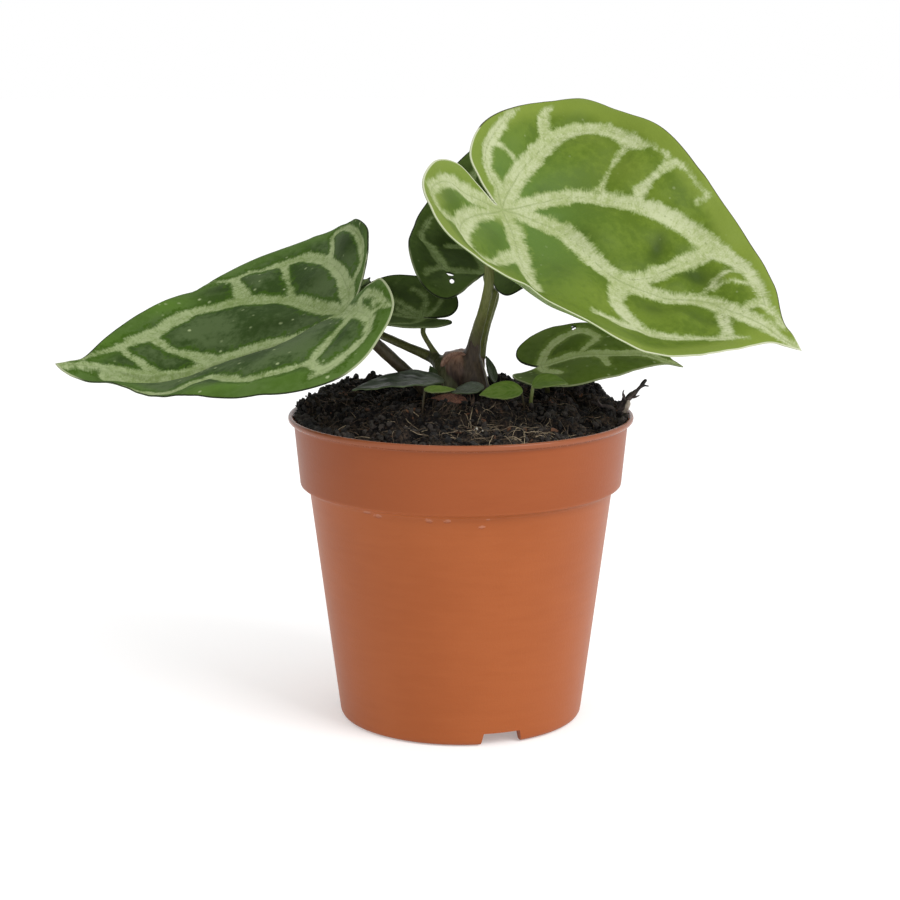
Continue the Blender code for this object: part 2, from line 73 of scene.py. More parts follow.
LEAVES = {
    "upper_right": dict(
        junction=(13.6, -8.0, 178.2), length=114, width=1.52, lobe=0.78, gap=-0.02, heading=6, roll=37,
        droop=(69, 48, 22, 24, 6, 41), sweep=(-15, -7, -24, -21), fold=3,
        curl_left=(5, 11, 19, -14), curl_right=(17, 36, 36, 57)),
    "left": dict(
        junction=(-40.1, -12.0, 143.6), length=106, width=1.52, lobe=0.77, gap=0.115, heading=167, roll=-11,
        droop=(84, 36, 16, 19, -8, -10), sweep=(-7, 18, 13, 42), fold=23,
        curl_left=(-55, -28, -18, -32), curl_right=(-5, -5, -9, 27)),
    "back": dict(
        junction=(9.2, 16.0, 154.7), length=73, width=1.06, lobe=1.09, gap=0.04, heading=81, roll=-9,
        droop=(-34, -11, -31, -59, -65, -52), sweep=(-1, 4, 9, 10), fold=20,
        curl_left=(29, 32, 13, 3), curl_right=(-4, 3, 5, 5)),
    "middle_left": dict(
        junction=(-13.5, 2.0, 140.0), length=41, width=1.08, lobe=0.97, gap=-0.015, heading=163, roll=-27,
        droop=(11, -2, -7, 4, 6, 6), sweep=(-1, -3, -5, -6), fold=16,
        curl_left=(19, 18, 16, 10), curl_right=(9, 10, 10, 7)),
    "lower_right": dict(
        junction=(28.0, 6.0, 122.5), length=51, width=1.0, lobe=0.61, gap=0.035, heading=-3, roll=21,
        droop=(33, -17, -16, 3, 7, 24), sweep=(6, 0, -7, -9), fold=10,
        curl_left=(-7, -5, -15, -7), curl_right=(25, -13, -26, -2)),
    "behind_left": dict(
        junction=(-42.0, 30.0, 141.0), length=21, width=0.9, lobe=0.9, gap=0.0, heading=62, roll=0,
        droop=(-15, -18, -23, -25, -22, -16), sweep=(0, 0, 0, 0), fold=12,
        curl_left=(5, 5, 5, 5), curl_right=(5, 5, 5, 5)),
}

# How finely each blade is made: points round half its margin, and rings out from its stalk.
FINENESS = {
    "upper_right": (150, 58), "left": (150, 58), "back": (120, 40),
    "middle_left": (80, 26), "lower_right": (90, 28), "behind_left": (50, 14),
}

# Veins of each leaf: along, out and half width, in hundredths of the leaf's length.
VEINS = {
    "upper_right": {
        "midrib": (
            (0, 0, 1.5), (4, 3.7, 2.6), (9.4, 5.9, 2.9), (17.6, 8.1, 3), (24, 6.4, 3), (34, 1.2, 3),
            (41.6, -1.1, 3.3), (51, 0, 2.5), (56.4, 0.3, 2.1), (66, 3.2, 2.1), (76.5, 1, 2.6),
            (87.4, 0, 2.1), (93.3, -0.8, 1.4), (100, 0, 0.7)),
        "upper": (
            (0, 0, 1.5), (6.7, 11, 2.6), (12.6, 18.8, 2.4), (19.5, 24, 2.5), (30.7, 27.4, 2.5),
            (41.8, 29.3, 2.8), (53.7, 28.1, 3), (64.2, 24, 3.2), (71.8, 20.7, 2.3), (75.9, 17.7, 1.8),
            (79.5, 13.3, 1.5), (83.2, 8, 1.3)),
        "outer": (
            (0, 0.5, 1.5), (-1.5, 7.6, 3), (-2.8, 17.5, 3.5), (-3, 25, 3.6), (-2.6, 32, 3.7),
            (-1.1, 39.5, 3.1), (2.7, 45.5, 2.7), (8.2, 49.3, 2.5), (14.6, 51.4, 2.2), (19.2, 51, 2),
            (25.3, 49.9, 2.5), (30, 49.8, 1.5), (34.1, 50.7, 0.5)),
        "outer_thin": ((34.2, 50.6, 0.4), (37.3, 49.4, 0.4), (40.2, 48.8, 0.5), (41.4, 47, 0.6)),
        "outer_spur": ((-4.3, 35.2, 2.1), (-9.6, 39.8, 2.4), (-11.9, 43.6, 1.7), (-11.7, 47, 0.7)),
        "lobe": (
            (0, 0.5, 1.1), (-5.1, 5.6, 1.9), (-9.2, 6.3, 1.7), (-13.7, 8.5, 1.7), (-16.7, 12.5, 2),
            (-18.6, 18.5, 2.2), (-20, 25.9, 1.6), (-20.7, 31.1, 1), (-20.3, 35, 0.4)),
        "lobe_spur": ((-16, 17.5, 1), (-12.4, 19.4, 0.4), (-8.2, 19.7, 0.3)),
        "far_top": (
            (0, 0, 1.9), (-6.5, -4.5, 2.8), (-11.8, -9.7, 2.7), (-15.9, -13, 2.4), (-18.6, -19.5, 2),
            (-19.5, -27.4, 1.7), (-18.5, -32.3, 1.3), (-14.2, -36.9, 1.1), (-10.8, -32.8, 1.1),
            (-8, -27.9, 1.5)),
        "far_low": (
            (0, -1.1, 1.5), (-4, -9.7, 2.1), (-6.2, -17.5, 2.7), (-7, -24.9, 3.2), (-6.2, -31.6, 3),
            (-3.9, -33.6, 2.4), (-1.2, -36.7, 1.7), (3.2, -34.4, 1.3), (5.5, -31, 1.2)),
        "down": (
            (1, -0.4, 1.9), (3.8, -1.8, 2.7), (7.1, -5, 3.1), (9.8, -9.5, 3.3), (13, -14.5, 3),
            (16.5, -20.1, 2.4), (20.1, -26.1, 1.6)),
        "down_patch": ((11.2, -14.3, 2.2), (8.9, -19.6, 1.9), (6.2, -27.8, 1.1)),
        "link": (
            (44.2, 1.4, 2.5), (49.6, 5.6, 2.4), (53.6, 10.5, 2.2), (57.4, 15.6, 2.2), (61.5, 19.6, 2.1),
            (64, 23.3, 2.3)),
        "branch_a": (
            (24.2, 29.2, 1.5), (23.9, 31.6, 0.8), (23.6, 37.8, 0.6), (24.1, 43, 0.6), (25, 47.3, 1.1)),
        "branch_b": (
            (36.7, 33.4, 2.1), (37.8, 37.7, 1.2), (39.9, 41.6, 1), (41.7, 45.2, 1.4), (43.9, 47.3, 1.2),
            (46.9, 47.1, 0.7), (49.7, 46.3, 0.3)),
        "branch_c": (
            (49.9, 45.6, 0.3), (53.6, 43, 0.3), (57.6, 40.8, 0.4), (56.2, 38.3, 0.4), (54.6, 36.8, 0.2)),
        "low_branch": (
            (41.6, -3.6, 3), (42.3, -11, 2.4), (45.2, -14.7, 2.3), (48.3, -17.3, 2.2), (52.6, -20.1, 1.8),
            (56.8, -20.1, 1.6), (61.5, -19, 1.2), (69.5, -15.4, 0.9), (77.1, -12.1, 1.1), (83.3, -8.5, 0.4)),
        "low_start": ((38, -23, 1), (43, -22, 1.3), (47.4, -22, 1.6), (52, -20, 1.8)),
        "arch": (
            (69.5, 3.3, 1.7), (72.2, 1.1, 1.4), (74.9, -2.9, 1.5), (77.5, -7.8, 1.4), (79.1, -11.2, 0.8)),
        "tip_a": (
            (62.9, 3.3, 0.7), (66.4, 7.1, 0.4), (69.8, 10.6, 0.3), (73.6, 12.5, 0.3), (77.1, 13.1, 0.3)),
        "tip_b": (
            (78.8, 1.1, 1), (80.2, 5.2, 1.2), (82.5, 7.2, 1.3), (85.1, 6.8, 1.2), (88.5, 5.2, 1),
            (92.3, 2.6, 0.7)),
        "tip_c": ((66.3, 8.3, 0.5), (68.6, 12.8, 0.5), (71.1, 16.4, 0.5), (74.1, 17.7, 0.4)),
    },
    "left": {
        "midrib": (
            (0, 0, 2.5), (5, 1, 3.8), (12, 1.5, 4), (19, 1, 4), (26, 1, 4), (33, 0.5, 3.6), (40, 1, 3.6),
            (48, 0.5, 3.2), (54, 1.5, 3.2), (60.6, 1.5, 2.8), (66.8, 1.5, 3), (72.9, 0.8, 2.8),
            (79, 0.2, 2.6), (84, -1, 2), (89, -1.3, 1.8), (95.3, -0.7, 1.4), (100, 0, 0.9)),
        "midrib_near": (
            (-2, 8, 3), (5, 7, 5), (14, 6.5, 5), (25, 6, 5), (35, 6.5, 5.5), (45, 6.5, 5.5), (55, 6, 5),
            (65, 5, 4.5), (74, 3.5, 3.5), (83, 1.5, 2.5)),
        "upper": (
            (0, 0, 2.2), (2.7, -6.5, 2.9), (9.4, -12.7, 3), (18.6, -21.4, 2.7), (25.9, -25.6, 2.3),
            (32.9, -28, 2.1), (38.2, -30.9, 2.6), (43.4, -31.2, 2.4), (48.7, -31.9, 2), (54.5, -32.7, 2.2),
            (58.6, -29.9, 2.6), (62.7, -26.9, 2.3), (66.8, -22.5, 2.4), (70.8, -19.3, 2.2),
            (74.8, -16.5, 1.5), (78.7, -12.8, 1.3), (82.5, -10.5, 1), (85.6, -8.5, 0.9), (89.6, -6, 0.6),
            (94.5, -3.4, 0.4)),
        "link_a": (
            (68.5, -18.9, 1.8), (65.1, -15.3, 1.4), (61.8, -11.8, 1.2), (58.5, -9.7, 1.5), (54.4, -7.4, 2),
            (50.6, -4.1, 2.3), (47.6, 0, 3)),
        "link_b": (
            (78.3, -12.4, 1.2), (75.5, -9.2, 1.1), (73.1, -7.1, 1.2), (70.6, -4.7, 1.5),
            (67.6, -0.6, 2.1)),
        "outer": (
            (0, 0, 2.2), (-2.1, -11, 3.4), (-1.6, -18.9, 3.3), (-0.3, -26.5, 3.2), (4.1, -36.1, 3.1),
            (11.5, -44, 3), (18.2, -48.1, 2.5), (23, -49, 2), (27.7, -48.2, 1.9), (31.8, -47.3, 1.2),
            (37.5, -48, 0.8), (40, -47.1, 1), (42.5, -45.9, 1.1), (46.1, -47.1, 0.6), (51.5, -49.3, 0.4),
            (56.3, -46.8, 0.3)),
        "outer_link_a": ((27, -47, 1.7), (25.5, -40.9, 1), (23.8, -33.3, 0.9), (21.9, -25.7, 1.7)),
        "outer_link_b": ((41.9, -45.2, 1.3), (40.8, -40.8, 1.5), (39.9, -36.5, 2), (39.1, -32.5, 2.6)),
        "spur": ((4.6, -39.5, 2.2), (3.1, -46.8, 1.5), (3.7, -54.2, 1.4)),
        "lobe": (
            (-2, -13.8, 1.6), (-6, -17.3, 1.1), (-9.8, -20.4, 1.2), (-13.6, -25.1, 1.9),
            (-16.2, -31.4, 2.4), (-16.7, -39.9, 2.3), (-13.1, -48.8, 1.9), (-6.6, -54, 1.6),
            (-0.2, -55.7, 1.7), (3.7, -53.5, 1.4)),
        "near_down": (
            (0, 0, 2), (-5, 15, 2.2), (-11, 30, 2.2), (-13.8, 36.5, 1.9), (-14.7, 41.7, 1.7),
            (-13.6, 45.3, 1.2), (-11.6, 48.4, 1), (-6.6, 50.4, 1.3), (-1.7, 53, 1.4), (0.5, 53.4, 1.3),
            (2.6, 55.6, 0.5)),
        "near_right": ((-14.9, 40.6, 1.1), (-17.6, 41.3, 0.8), (-19.6, 43.2, 0.6), (-20.8, 45.6, 0.5)),
        "near_loop": (
            (-13.7, 33.2, 1.4), (-14.7, 27.7, 1.5), (-16.5, 27.6, 1.5), (-18.6, 31.4, 1.5), (-20, 36.8, 1),
            (-20, 41.6, 0.7)),
        "near_loop_in": ((-18.1, 31.7, 1), (-18.3, 35.6, 0.6), (-17.6, 38.4, 0.6)),
        "low": (
            (0, 3, 1.5), (-5, 20, 1.8), (-10.5, 30.4, 2.2), (-8.7, 33.5, 1.5), (-5.3, 36.3, 1.1),
            (-2.6, 39.9, 1.2), (0.3, 43.9, 1.2), (2.5, 46.8, 1.5), (8, 47.9, 1.2), (12.7, 48.6, 1.5),
            (17.1, 49.1, 1.5), (22.6, 48.3, 1.6), (29.4, 46.1, 2.2), (35, 43, 2), (39.3, 39.8, 1.9),
            (44.1, 39.6, 1.7), (50, 38.9, 1.9), (55.1, 40.8, 1.7), (61.8, 37.1, 1.4), (68, 33, 1.4),
            (75.3, 28.3, 1.4), (81.2, 21, 1.2)),
        "low_join": ((2, 47.7, 1.5), (1, 51.1, 1.4), (0, 54.1, 1)),
    },
    "back": {
        "midrib": ((0, 0, 2), (20, 0, 2), (50, 0, 1.8), (80, 0, 1.2), (100, 0, 0.6)),
        "left_main": (
            (-1, 0, 2), (-3.3, 2, 2.4), (-3.6, 5.4, 2), (-6.7, 11.9, 1.9), (-9, 16.6, 1.8), (-7.7, 20.6, 2.2),
            (-2.2, 25.4, 2.8), (4, 29.7, 2.7), (6.1, 33.4, 1.9), (8.2, 36.3, 1.5), (17.9, 36.7, 0.9),
            (36.2, 33.8, 0.7)),
        "left_spur": ((-8.3, 20.5, 1.5), (-13.1, 24.1, 1), (-18.3, 27, 1), (-22.6, 27.7, 0.6)),
        "left_up": (
            (0, 0, 2.4), (10.4, 3.6, 2.6), (16.3, 7.7, 2), (22.2, 12.1, 1.3), (18, 18.2, 1),
            (13.3, 23.3, 0.9)),
        "left_far": ((16, 7.7, 1.6), (34, 17, 1.6), (56, 17, 1.4), (76, 8, 1.1), (86, 2, 0.7)),
        "right_main": (
            (-1, 0, 2), (-4, -7, 2), (-5, -18, 1.8), (4, -28, 1.6), (22, -31, 1.3), (42, -27, 1.1),
            (60, -20, 0.8)),
        "right_up": ((6, -1, 2), (18, -8, 1.8), (34, -14, 1.6), (54, -14, 1.3), (74, -7, 1), (86, -1, 0.7)),
    },
    "middle_left": {
        "midrib": ((0, 0, 1.8), (13.2, 2, 1.5), (24, 0.6, 1.4), (50, 0, 1.4), (75, 0, 1), (100, 0, 0.5)),
        "a": (
            (0, -1, 2), (0.9, -10.4, 1.5), (0.9, -16.4, 1.5), (4.2, -23.6, 1.4), (9.9, -27.4, 1.2),
            (15.7, -29.4, 1)),
        "b": (
            (1.6, -2.9, 2), (14.1, -8.6, 1.4), (23, -13.2, 1.2), (38, -17, 1.2), (60, -15, 1),
            (80, -6, 0.7)),
        "c": ((2.2, -1.9, 1.6), (13.5, -2.6, 1.3), (23.8, -6.8, 1)),
        "right": ((0, 1, 1.8), (2, 12, 1.4), (8, 22, 1.3), (22, 28, 1.1), (42, 24, 0.9), (62, 16, 0.6)),
        "lobe": ((-1, 0, 1.4), (-8, -9, 1.2), (-13, -19, 1)),
    },
    "lower_right": {
        "midrib": (
            (0, 0, 2), (5.9, -0.8, 2.5), (14.8, -0.6, 2.7), (24.6, 0, 2.7), (33.2, -2.4, 2.8),
            (42.7, -4.6, 2.9), (51.4, -3.9, 2.9), (60.9, -0.9, 2.5), (69.4, 0.4, 2.1), (78.1, -0.7, 1.8),
            (87.1, -1.8, 1.4), (99.5, 0.5, 0.7)),
        "upper": (
            (0, 1, 1.5), (3.3, 9.7, 1.5), (7.8, 16.2, 1.7), (15.2, 21.5, 1.8), (22.9, 25.6, 1.8),
            (29.7, 27.4, 1.6), (35.7, 24.8, 1.3), (40.7, 18.6, 0.9)),
        "thin": ((29.4, 3, 0.7), (35, 9.1, 0.4), (39.6, 14.2, 0.4)),
        "low": ((41.3, -6, 1.6), (43.9, -12.3, 1), (46.6, -19.1, 0.5)),
        "near": ((0, 0, 1.4), (3, -12, 1), (12, -20, 0.8)),
    },
    "behind_left": {
        "midrib": ((0, 0, 1.6), (50, 0, 1.4), (100, 0, 0.6)),
        "sides": ((30, -22, 1), (8, -12, 1.2), (0, 0, 1.5), (8, 12, 1.2), (30, 22, 1)),
    },
}
# Veins of each young leaf, to which the loop below adds the fine ones at its sides.
EGG_VEINS = {
    "midrib": ((0, 0, 1.8), (35, 0, 1.9), (70, 0, 1.4), (100, 0, 0.6)),
    "low_far": ((2, 0, 1.4), (22, 17, 1.3), (50, 23, 0.7)),
    "low_near": ((2, 0, 1.4), (22, -17, 1.3), (50, -23, 0.7)),
    "high_far": ((38, 0, 1.2), (58, 12, 1.1), (80, 13, 0.5)),
    "high_near": ((38, 0, 1.2), (58, -12, 1.1), (80, -13, 0.5)),
}
for number, start in enumerate((6, 18, 32, 48, 64)):
    for side in (-1, 1):
        bend, end = side * (13 - number), side * (20 - 3 * number)
        rows = ((start, 0, 0.8), (start + 12, bend, 0.6), (start + 26, end, 0.3))
        EGG_VEINS[f"side_{number}_{side}"] = rows

# Puffed or sunken places on the large blades: along, out, reach (shares of the length), height.
PUFFS = {
    "upper_right": (
        (0.30, 0.13, 0.10, 2.0), (0.49, 0.165, 0.040, -2.4), (0.56, 0.08, 0.05, 1.2),
        (0.63, 0.125, 0.045, -2.4), (0.71, 0.135, 0.035, 2.0), (0.62, -0.09, 0.06, 1.9),
        (0.70, -0.05, 0.04, -1.3), (0.30, -0.12, 0.09, 1.6), (0.12, 0.36, 0.12, 1.8),
        (0.40, 0.40, 0.08, 1.5), (0.72, 0.27, 0.05, -1.2), (0.55, 0.30, 0.05, -1.0),
        (0.85, 0.13, 0.05, 0.9), (-0.12, 0.25, 0.06, 0.9), (-0.12, -0.20, 0.05, 0.8),
        (0.02, -0.18, 0.05, 0.7), (0.52, -0.08, 0.04, -0.7)),
    "left": (
        (0.32, -0.14, 0.10, 1.2), (0.14, -0.30, 0.07, 0.9), (0.33, -0.40, 0.06, 0.8),
        (0.62, -0.12, 0.06, 0.9), (0.62, 0.30, 0.07, -0.7), (-0.07, -0.36, 0.06, 0.7)),
    "back": (
        (0.05, 0.16, 0.09, 0.8), (-0.16, 0.20, 0.07, -0.6), (0.20, 0.30, 0.08, 0.7),
        (-0.12, -0.18, 0.08, 0.7)),
    "lower_right": ((0.22, 0.14, 0.10, 0.6), (0.60, 0.12, 0.10, -0.4), (0.55, -0.14, 0.09, 0.5)),
}

# How far the left half of a blade sags beside its midrib, in millimetres.
SAG = {"left": 4.0}
SAG_AT = 0.06

# Painted shade in the fields, of folds, dips and leaves above them, and lighter places: along, out, reach
# along and out, strength.
PAINTED_SHADE = {
    "upper_right": (
        (0.485, 0.165, 0.026, 0.07, 0.9), (0.62, 0.125, 0.055, 0.035, 1.0), (0.27, 0.10, 0.06, 0.03, 0.35),
        (0.02, -0.18, 0.05, 0.06, 0.35), (-0.14, -0.23, 0.05, 0.05, 0.35), (0.525, -0.078, 0.05, 0.035, 0.6),
        (0.68, -0.05, 0.07, 0.022, 0.45), (0.245, -0.11, 0.07, 0.03, 0.25), (0.07, 0.17, 0.03, 0.04, 0.3)),
    "left": (
        (0.45, -0.42, 0.10, 0.035, 0.7), (-0.08, -0.40, 0.08, 0.10, 0.8), (0.28, -0.10, 0.10, 0.03, 0.5),
        (0.24, 0.30, 0.10, 0.05, 0.4), (0.12, -0.30, 0.07, 0.05, 0.5), (-0.25, -0.42, 0.12, 0.12, 0.6)),
    "back": ((0.10, 0.24, 0.12, 0.10, 0.6), (0.45, 0.10, 0.2, 0.2, 0.4)),
    "middle_left": ((0.30, -0.22, 0.15, 0.08, 0.5), (-0.1, 0.1, 0.08, 0.12, 0.5)),
    "lower_right": ((-0.08, -0.12, 0.10, 0.08, 0.5), (0.10, 0.10, 0.08, 0.05, 0.3)),
}
# The lighter places: yellower leaf colour, and painted highlight where a bulge faces the light.
YELLOW_AND_PAINTED_LIGHT = {
    "upper_right": (
        (0.715, 0.135, 0.04, 0.022, 0.5), (0.30, 0.39, 0.10, 0.06, 0.4), (0.69, 0.25, 0.09, 0.05, 0.3),
        (0.10, 0.46, 0.12, 0.04, 0.3), (0.40, -0.15, 0.08, 0.05, 0.3)),
    "left": ((0.68, -0.36, 0.16, 0.05, 0.8), (0.25, 0.52, 0.30, 0.035, 0.8), (0.85, -0.15, 0.08, 0.04, 0.6)),
    "back": ((-0.20, 0.06, 0.06, 0.06, 0.9), (0.38, 0.34, 0.15, 0.03, 0.6)),
    "middle_left": ((-0.08, -0.12, 0.08, 0.08, 0.6), (0.2, 0.30, 0.2, 0.04, 0.4)),
    "lower_right": ((0.36, 0.12, 0.10, 0.04, 0.4), (0.55, -0.28, 0.2, 0.05, 0.4)),
}

# Stretches of margin that are pale, not dark with painted edge shade: half (1 left, -1 right), from and to
# along, widest out.
PALE_RIMS = {
    "upper_right": ((-1, -0.40, 1.0, 1.0), (1, -0.40, 0.02, 0.14), (1, 0.93, 1.0, 1.0)),
    "left": ((1, -0.40, -0.06, 1.0), (-1, -0.20, 0.02, 0.22), (1, 0.90, 1.0, 1.0), (-1, 0.90, 1.0, 1.0)),
    "back": ((1, -0.30, -0.12, 1.0),),
    "middle_left": ((1, -0.30, 1.0, 1.0),),
    "lower_right": ((-1, -0.30, 1.0, 1.0), (1, 0.8, 1.0, 1.0)),
}

# Small holes eaten in the blades: along, out, reach along and out in shares of the length.
HOLES = {
    "back": ((-0.134, 0.163, 0.018, 0.020), (-0.190, 0.146, 0.030, 0.013)),
    "lower_right": ((0.275, 0.331, 0.016, 0.036),),
    "middle_left": ((0.171, 0.211, 0.006, 0.006),),
}

# Petioles: x, y, z and radius. Those that leave the crown have their first rows inside it.
STALKS = {
    "upper_right": (
        (3.8, -5.0, 127, 2.9), (4.5, -5.6, 132, 2.3), (5.9, -7.4, 138, 1.95), (7.7, -10.4, 145, 1.7),
        (9.3, -12.4, 153, 1.65), (9.5, -11.5, 161, 1.7), (8.8, -7.0, 169, 1.8)),
    "back": ((6.2, 3.0, 126, 2.4), (7.3, 5.5, 132, 2.0), (9.2, 8.8, 138.5, 1.8), (12.0, 13.0, 146, 1.5)),
    "middle_left": ((-7.0, 0.8, 124.5, 1.7), (-9.8, 1.6, 129, 1.0), (-12.8, 2.2, 134, 0.9)),
    "behind_left": (
        (-7.5, 1.2, 124.5, 2.5), (-10.5, 3.3, 126.2, 1.9), (-19.5, 5.6, 129.8, 1.5), (-28.0, 10.0, 133, 1.4),
        (-36.0, 19.0, 135.5, 1.3)),
    "left": (
        (-8.6, -0.5, 98, 2.4), (-9.2, -0.8, 107, 2.4), (-13.0, -1.4, 115.7, 2.3), (-18.8, -2.4, 121.8, 2.2),
        (-27.5, -5.5, 130.5, 2.1), (-33.5, -9.0, 137, 1.9)),
    "lower_right": ((31.0, 17.0, 99, 1.6), (30.6, 16.0, 107, 1.5), (30.0, 12.0, 114, 1.4)),
}
# How brown each petiole is, low down and high up, and the heights between which it turns.
BROWN = {
    "upper_right": (1.0, 0.1, 124, 146), "back": (0.5, 0.05, 124, 134), "middle_left": (0.35, 0.2, 120, 130),
    "behind_left": (0.55, 0.4, 122, 128), "left": (0.95, 0.85, 110, 130), "lower_right": (0.5, 0.3, 110, 118),
}

# Which finish each leaf has above and below, and a third name, of a slot for its blade, which is not used.
LEAF_FINISHES = {
    "upper_right": ("bright", "under_bright", "bright_blade"), "left": ("dark", "under_dark", "dark_blade"),
    "back": ("shaded", "under_dark", "dark_blade"), "middle_left": ("shaded", "under_dark", "dark_blade"),
    "lower_right": ("middle", "under_dark", "bright_blade"),
    "behind_left": ("shaded", "under_dark", "dark_blade"),
}
# The upper side's finish of each young leaf.
YOUNG_FINISHES = {
    "young_leaf_left": "small_grey", "young_leaf_front_left": "small_bright",
    "young_leaf_front_grey": "small_grey", "young_leaf_front": "small_bright",
    "young_leaf_front_right": "small_bright", "young_leaf_crown_left": "small_dark",
    "young_leaf_crown_right": "small_dark",
}

# The swollen feet of the petioles on the crown, which its skin runs up.
CROWN_FEET = {
    "dark": (
        (4.8, -5.6, 112, 5.2), (4.6, -5.8, 118, 4.9), (4.1, -5.7, 122.5, 4.3), (3.7, -5.5, 127, 3.2),
        (4.4, -5.7, 132, 2.3), (5.3, -6.7, 136, 1.9)),
    "olive": (
        (-2.6, -5.2, 112, 3.4), (-4.0, -4.9, 117, 3.6), (-5.6, -3.0, 121.5, 3.3), (-7.8, 0.2, 124.8, 2.5),
        (-11.0, 3.4, 126.4, 1.8)),
    "plain": ((-3.0, -0.5, 120, 3.0), (-7.0, 0.8, 124.5, 1.8), (-9.8, 1.6, 129, 0.95)),
    "hidden": ((4.5, 1.0, 117, 4.0), (6.2, 3.0, 126, 2.2), (7.6, 5.3, 131.5, 1.5)),
}

# How fine the crown's skin is made, in millimetres, and how often and how much it is smoothed.
CROWN_GRAIN = 0.42
SMOOTHINGS = 9
SMOOTH_SHARE = 0.6

# The way that each sheath faces, and its rows.
SHEATHS = {
    "sheath_over_crown": ((0, 0.7, 0.7), (
        (-6.6, -7.0, 124.6, 0.7), (-5.0, -7.6, 127.2, 1.3), (-2.6, -7.2, 128.6, 1.7),
        (0.0, -6.8, 128.6, 1.5), (1.8, -6.8, 127.8, 0.7))),
    "sheath_right": ((0.9, 0.1, 0.4), (
        (7.2, -7.6, 127.5, 0.3), (8.0, -8.2, 124.0, 0.5), (8.9, -8.6, 120.5, 0.6),
        (10.0, -8.8, 117.0, 0.5), (10.6, -8.9, 114.5, 0.3))),
    "sheath_behind": ((0.9, 0.1, 0.4), (
        (7.4, 2.0, 127.5, 0.3), (9.4, 4.2, 136.0, 0.3), (11.5, 7.4, 143.0, 0.28),
        (13.2, 10.2, 149.0, 0.22))),
}

# Young leaves round the crown and the reddish bract, each with the two lowest rows of its stem.
YOUNG = {
    "young_leaf_left": dict(
        junction=(-6.5, -13.0, 120.5), length=31, width=0.75, heading=184, roll=-12,
        droop=(0, -4, 0, 6, 10, 14), fold=8, curl=6, foot=((-5.2, -12.0, 99, 1.0), (-5.4, -12.2, 110, 0.9))),
    "young_leaf_front_left": dict(
        junction=(-12.3, -21.5, 118.9), length=10.5, width=0.55, heading=2, roll=30,
        droop=(0, 0, 0, 0, 0, 0), fold=10, curl=0, foot=((-13.0, -21.0, 99, 0.8), (-13.2, -21.0, 110, 0.8))),
    "young_leaf_front_grey": dict(
        junction=(7.5, -17.0, 119.0), length=11, width=0.95, heading=184, roll=-25,
        droop=(0, 0, 5, 10, 15, 15), fold=6, curl=-8, foot=((6.5, -16.5, 99, 0.8), (6.6, -16.5, 110, 0.8))),
    "young_leaf_front": dict(
        junction=(20.4, -20.5, 118.2), length=14.5, width=0.95, heading=181, roll=-35,
        droop=(0, -6, 0, 6, 10, 14), fold=6, curl=4, foot=((21.5, -17.0, 99, 0.8), (21.6, -17.2, 110, 0.8))),
    "young_leaf_front_right": dict(
        junction=(24.4, -16.5, 119.2), length=12.5, width=0.95, heading=3, roll=28,
        droop=(0, -28, -18, 0, 10, 15), fold=10, curl=6,
        foot=((23.8, -15.0, 98, 0.8), (23.6, -15.2, 111, 0.8))),
    "young_leaf_crown_left": dict(
        junction=(-7.6, -7.0, 117.5), length=8.0, width=1.0, heading=140, roll=-20,
        droop=(-40, -60, -60, -60, -60, -60), fold=10, curl=10,
        foot=((-6.2, -7.6, 101, 0.8), (-6.6, -7.5, 110, 0.8))),
    "young_leaf_crown_right": dict(
        junction=(11.8, 5.5, 117.0), length=9.5, width=0.8, heading=150, roll=-10,
        droop=(-50, -70, -70, -70, -70, -70), fold=10, curl=10,
        foot=((13.4, 5.5, 101, 0.8), (13.2, 5.5, 110, 0.8))),
    "bract_front": dict(
        junction=(1.5, -18.5, 114.6), length=12, width=0.7, heading=168, roll=-25,
        droop=(0, -14, -10, 0, 5, 10), fold=0, curl=-20,
        foot=((2.6, -18.4, 99, 1.0), (2.4, -18.5, 108, 1.0))),
}

# Pot
POT_HEIGHT = 107.0
LIP_RADIUS = 60.0
BAND_TOP_RADIUS = 58.0
BAND_FOOT_RADIUS = 56.1
BAND_FOOT = 83.6
BODY_TOP_RADIUS = 52.8
BASE_RADIUS = 42.5
WALL = 1.3
FLOOR_LIFT = 4.6
FOOT_WIDTH = 3.4
POT_SIDES = 192
FIRST_NOTCH = -71.0
NOTCH_WIDTH = 15.5
NOTCH_HEIGHT = 4.2
DRAIN_RADIUS = 3.5
DRAIN_CIRCLE = 29.0
CENTRE_FOOT = 11.0
POT_COLOUR = (0.292, 0.073, 0.017)
POT_COLOUR_LIGHT = (0.318, 0.083, 0.021)
POT_COLOUR_BAND = (0.180, 0.036, 0.009)
POT_COLOUR_LIP = (0.240, 0.085, 0.045)
SCUFF_PALE = (0.42, 0.18, 0.115)
SCUFF_DARK = (0.20, 0.050, 0.020)
# Marks under the band at the front: x, z, half width and half height.
SCUFFS = (
    (-31.0, 81.4, 1.8, 0.5), (-27.5, 80.6, 1.6, 0.6), (-10.6, 80.6, 1.4, 0.7), (-4.6, 80.6, 1.6, 0.6),
    (6.6, 78.4, 1.3, 0.5), (8.6, 81.0, 0.6, 0.3))

# Soil, as the solid has it
SOIL_EDGE = 104.2
SOIL_DOME = 9.0
SOIL_BACK_RISE = 1.8
SOIL_LUMP = 1.7
SOIL_HEAPS = ((-38, 26, 14, 4.0), (43, 20, 9, 7.0), (15, 26, 8, 5.0))
# Loose peat heaped on the solid soil: x, y, reach and height.
PEAT_HEAPS = (
    (4, -15, 12, 2.8), (-54, 8, 13, 5.0), (-44, 32, 13, 3.5), (55, 6, 12, 4.5), (44, 34, 12, 2.5),
    (-20, -14, 11, 1.6), (24, -12, 9, 1.4))
CLODS = 150
PEAT_EDGE = 56.4
PEAT_RINGS = 110
PEAT_AROUND = 360
# The peat's body below its edge: radius and height.
PEAT_SIDE = ((54.3, 98.0), (50.8, 82.0), (40.7, FLOOR_LIFT + WALL + 0.3))
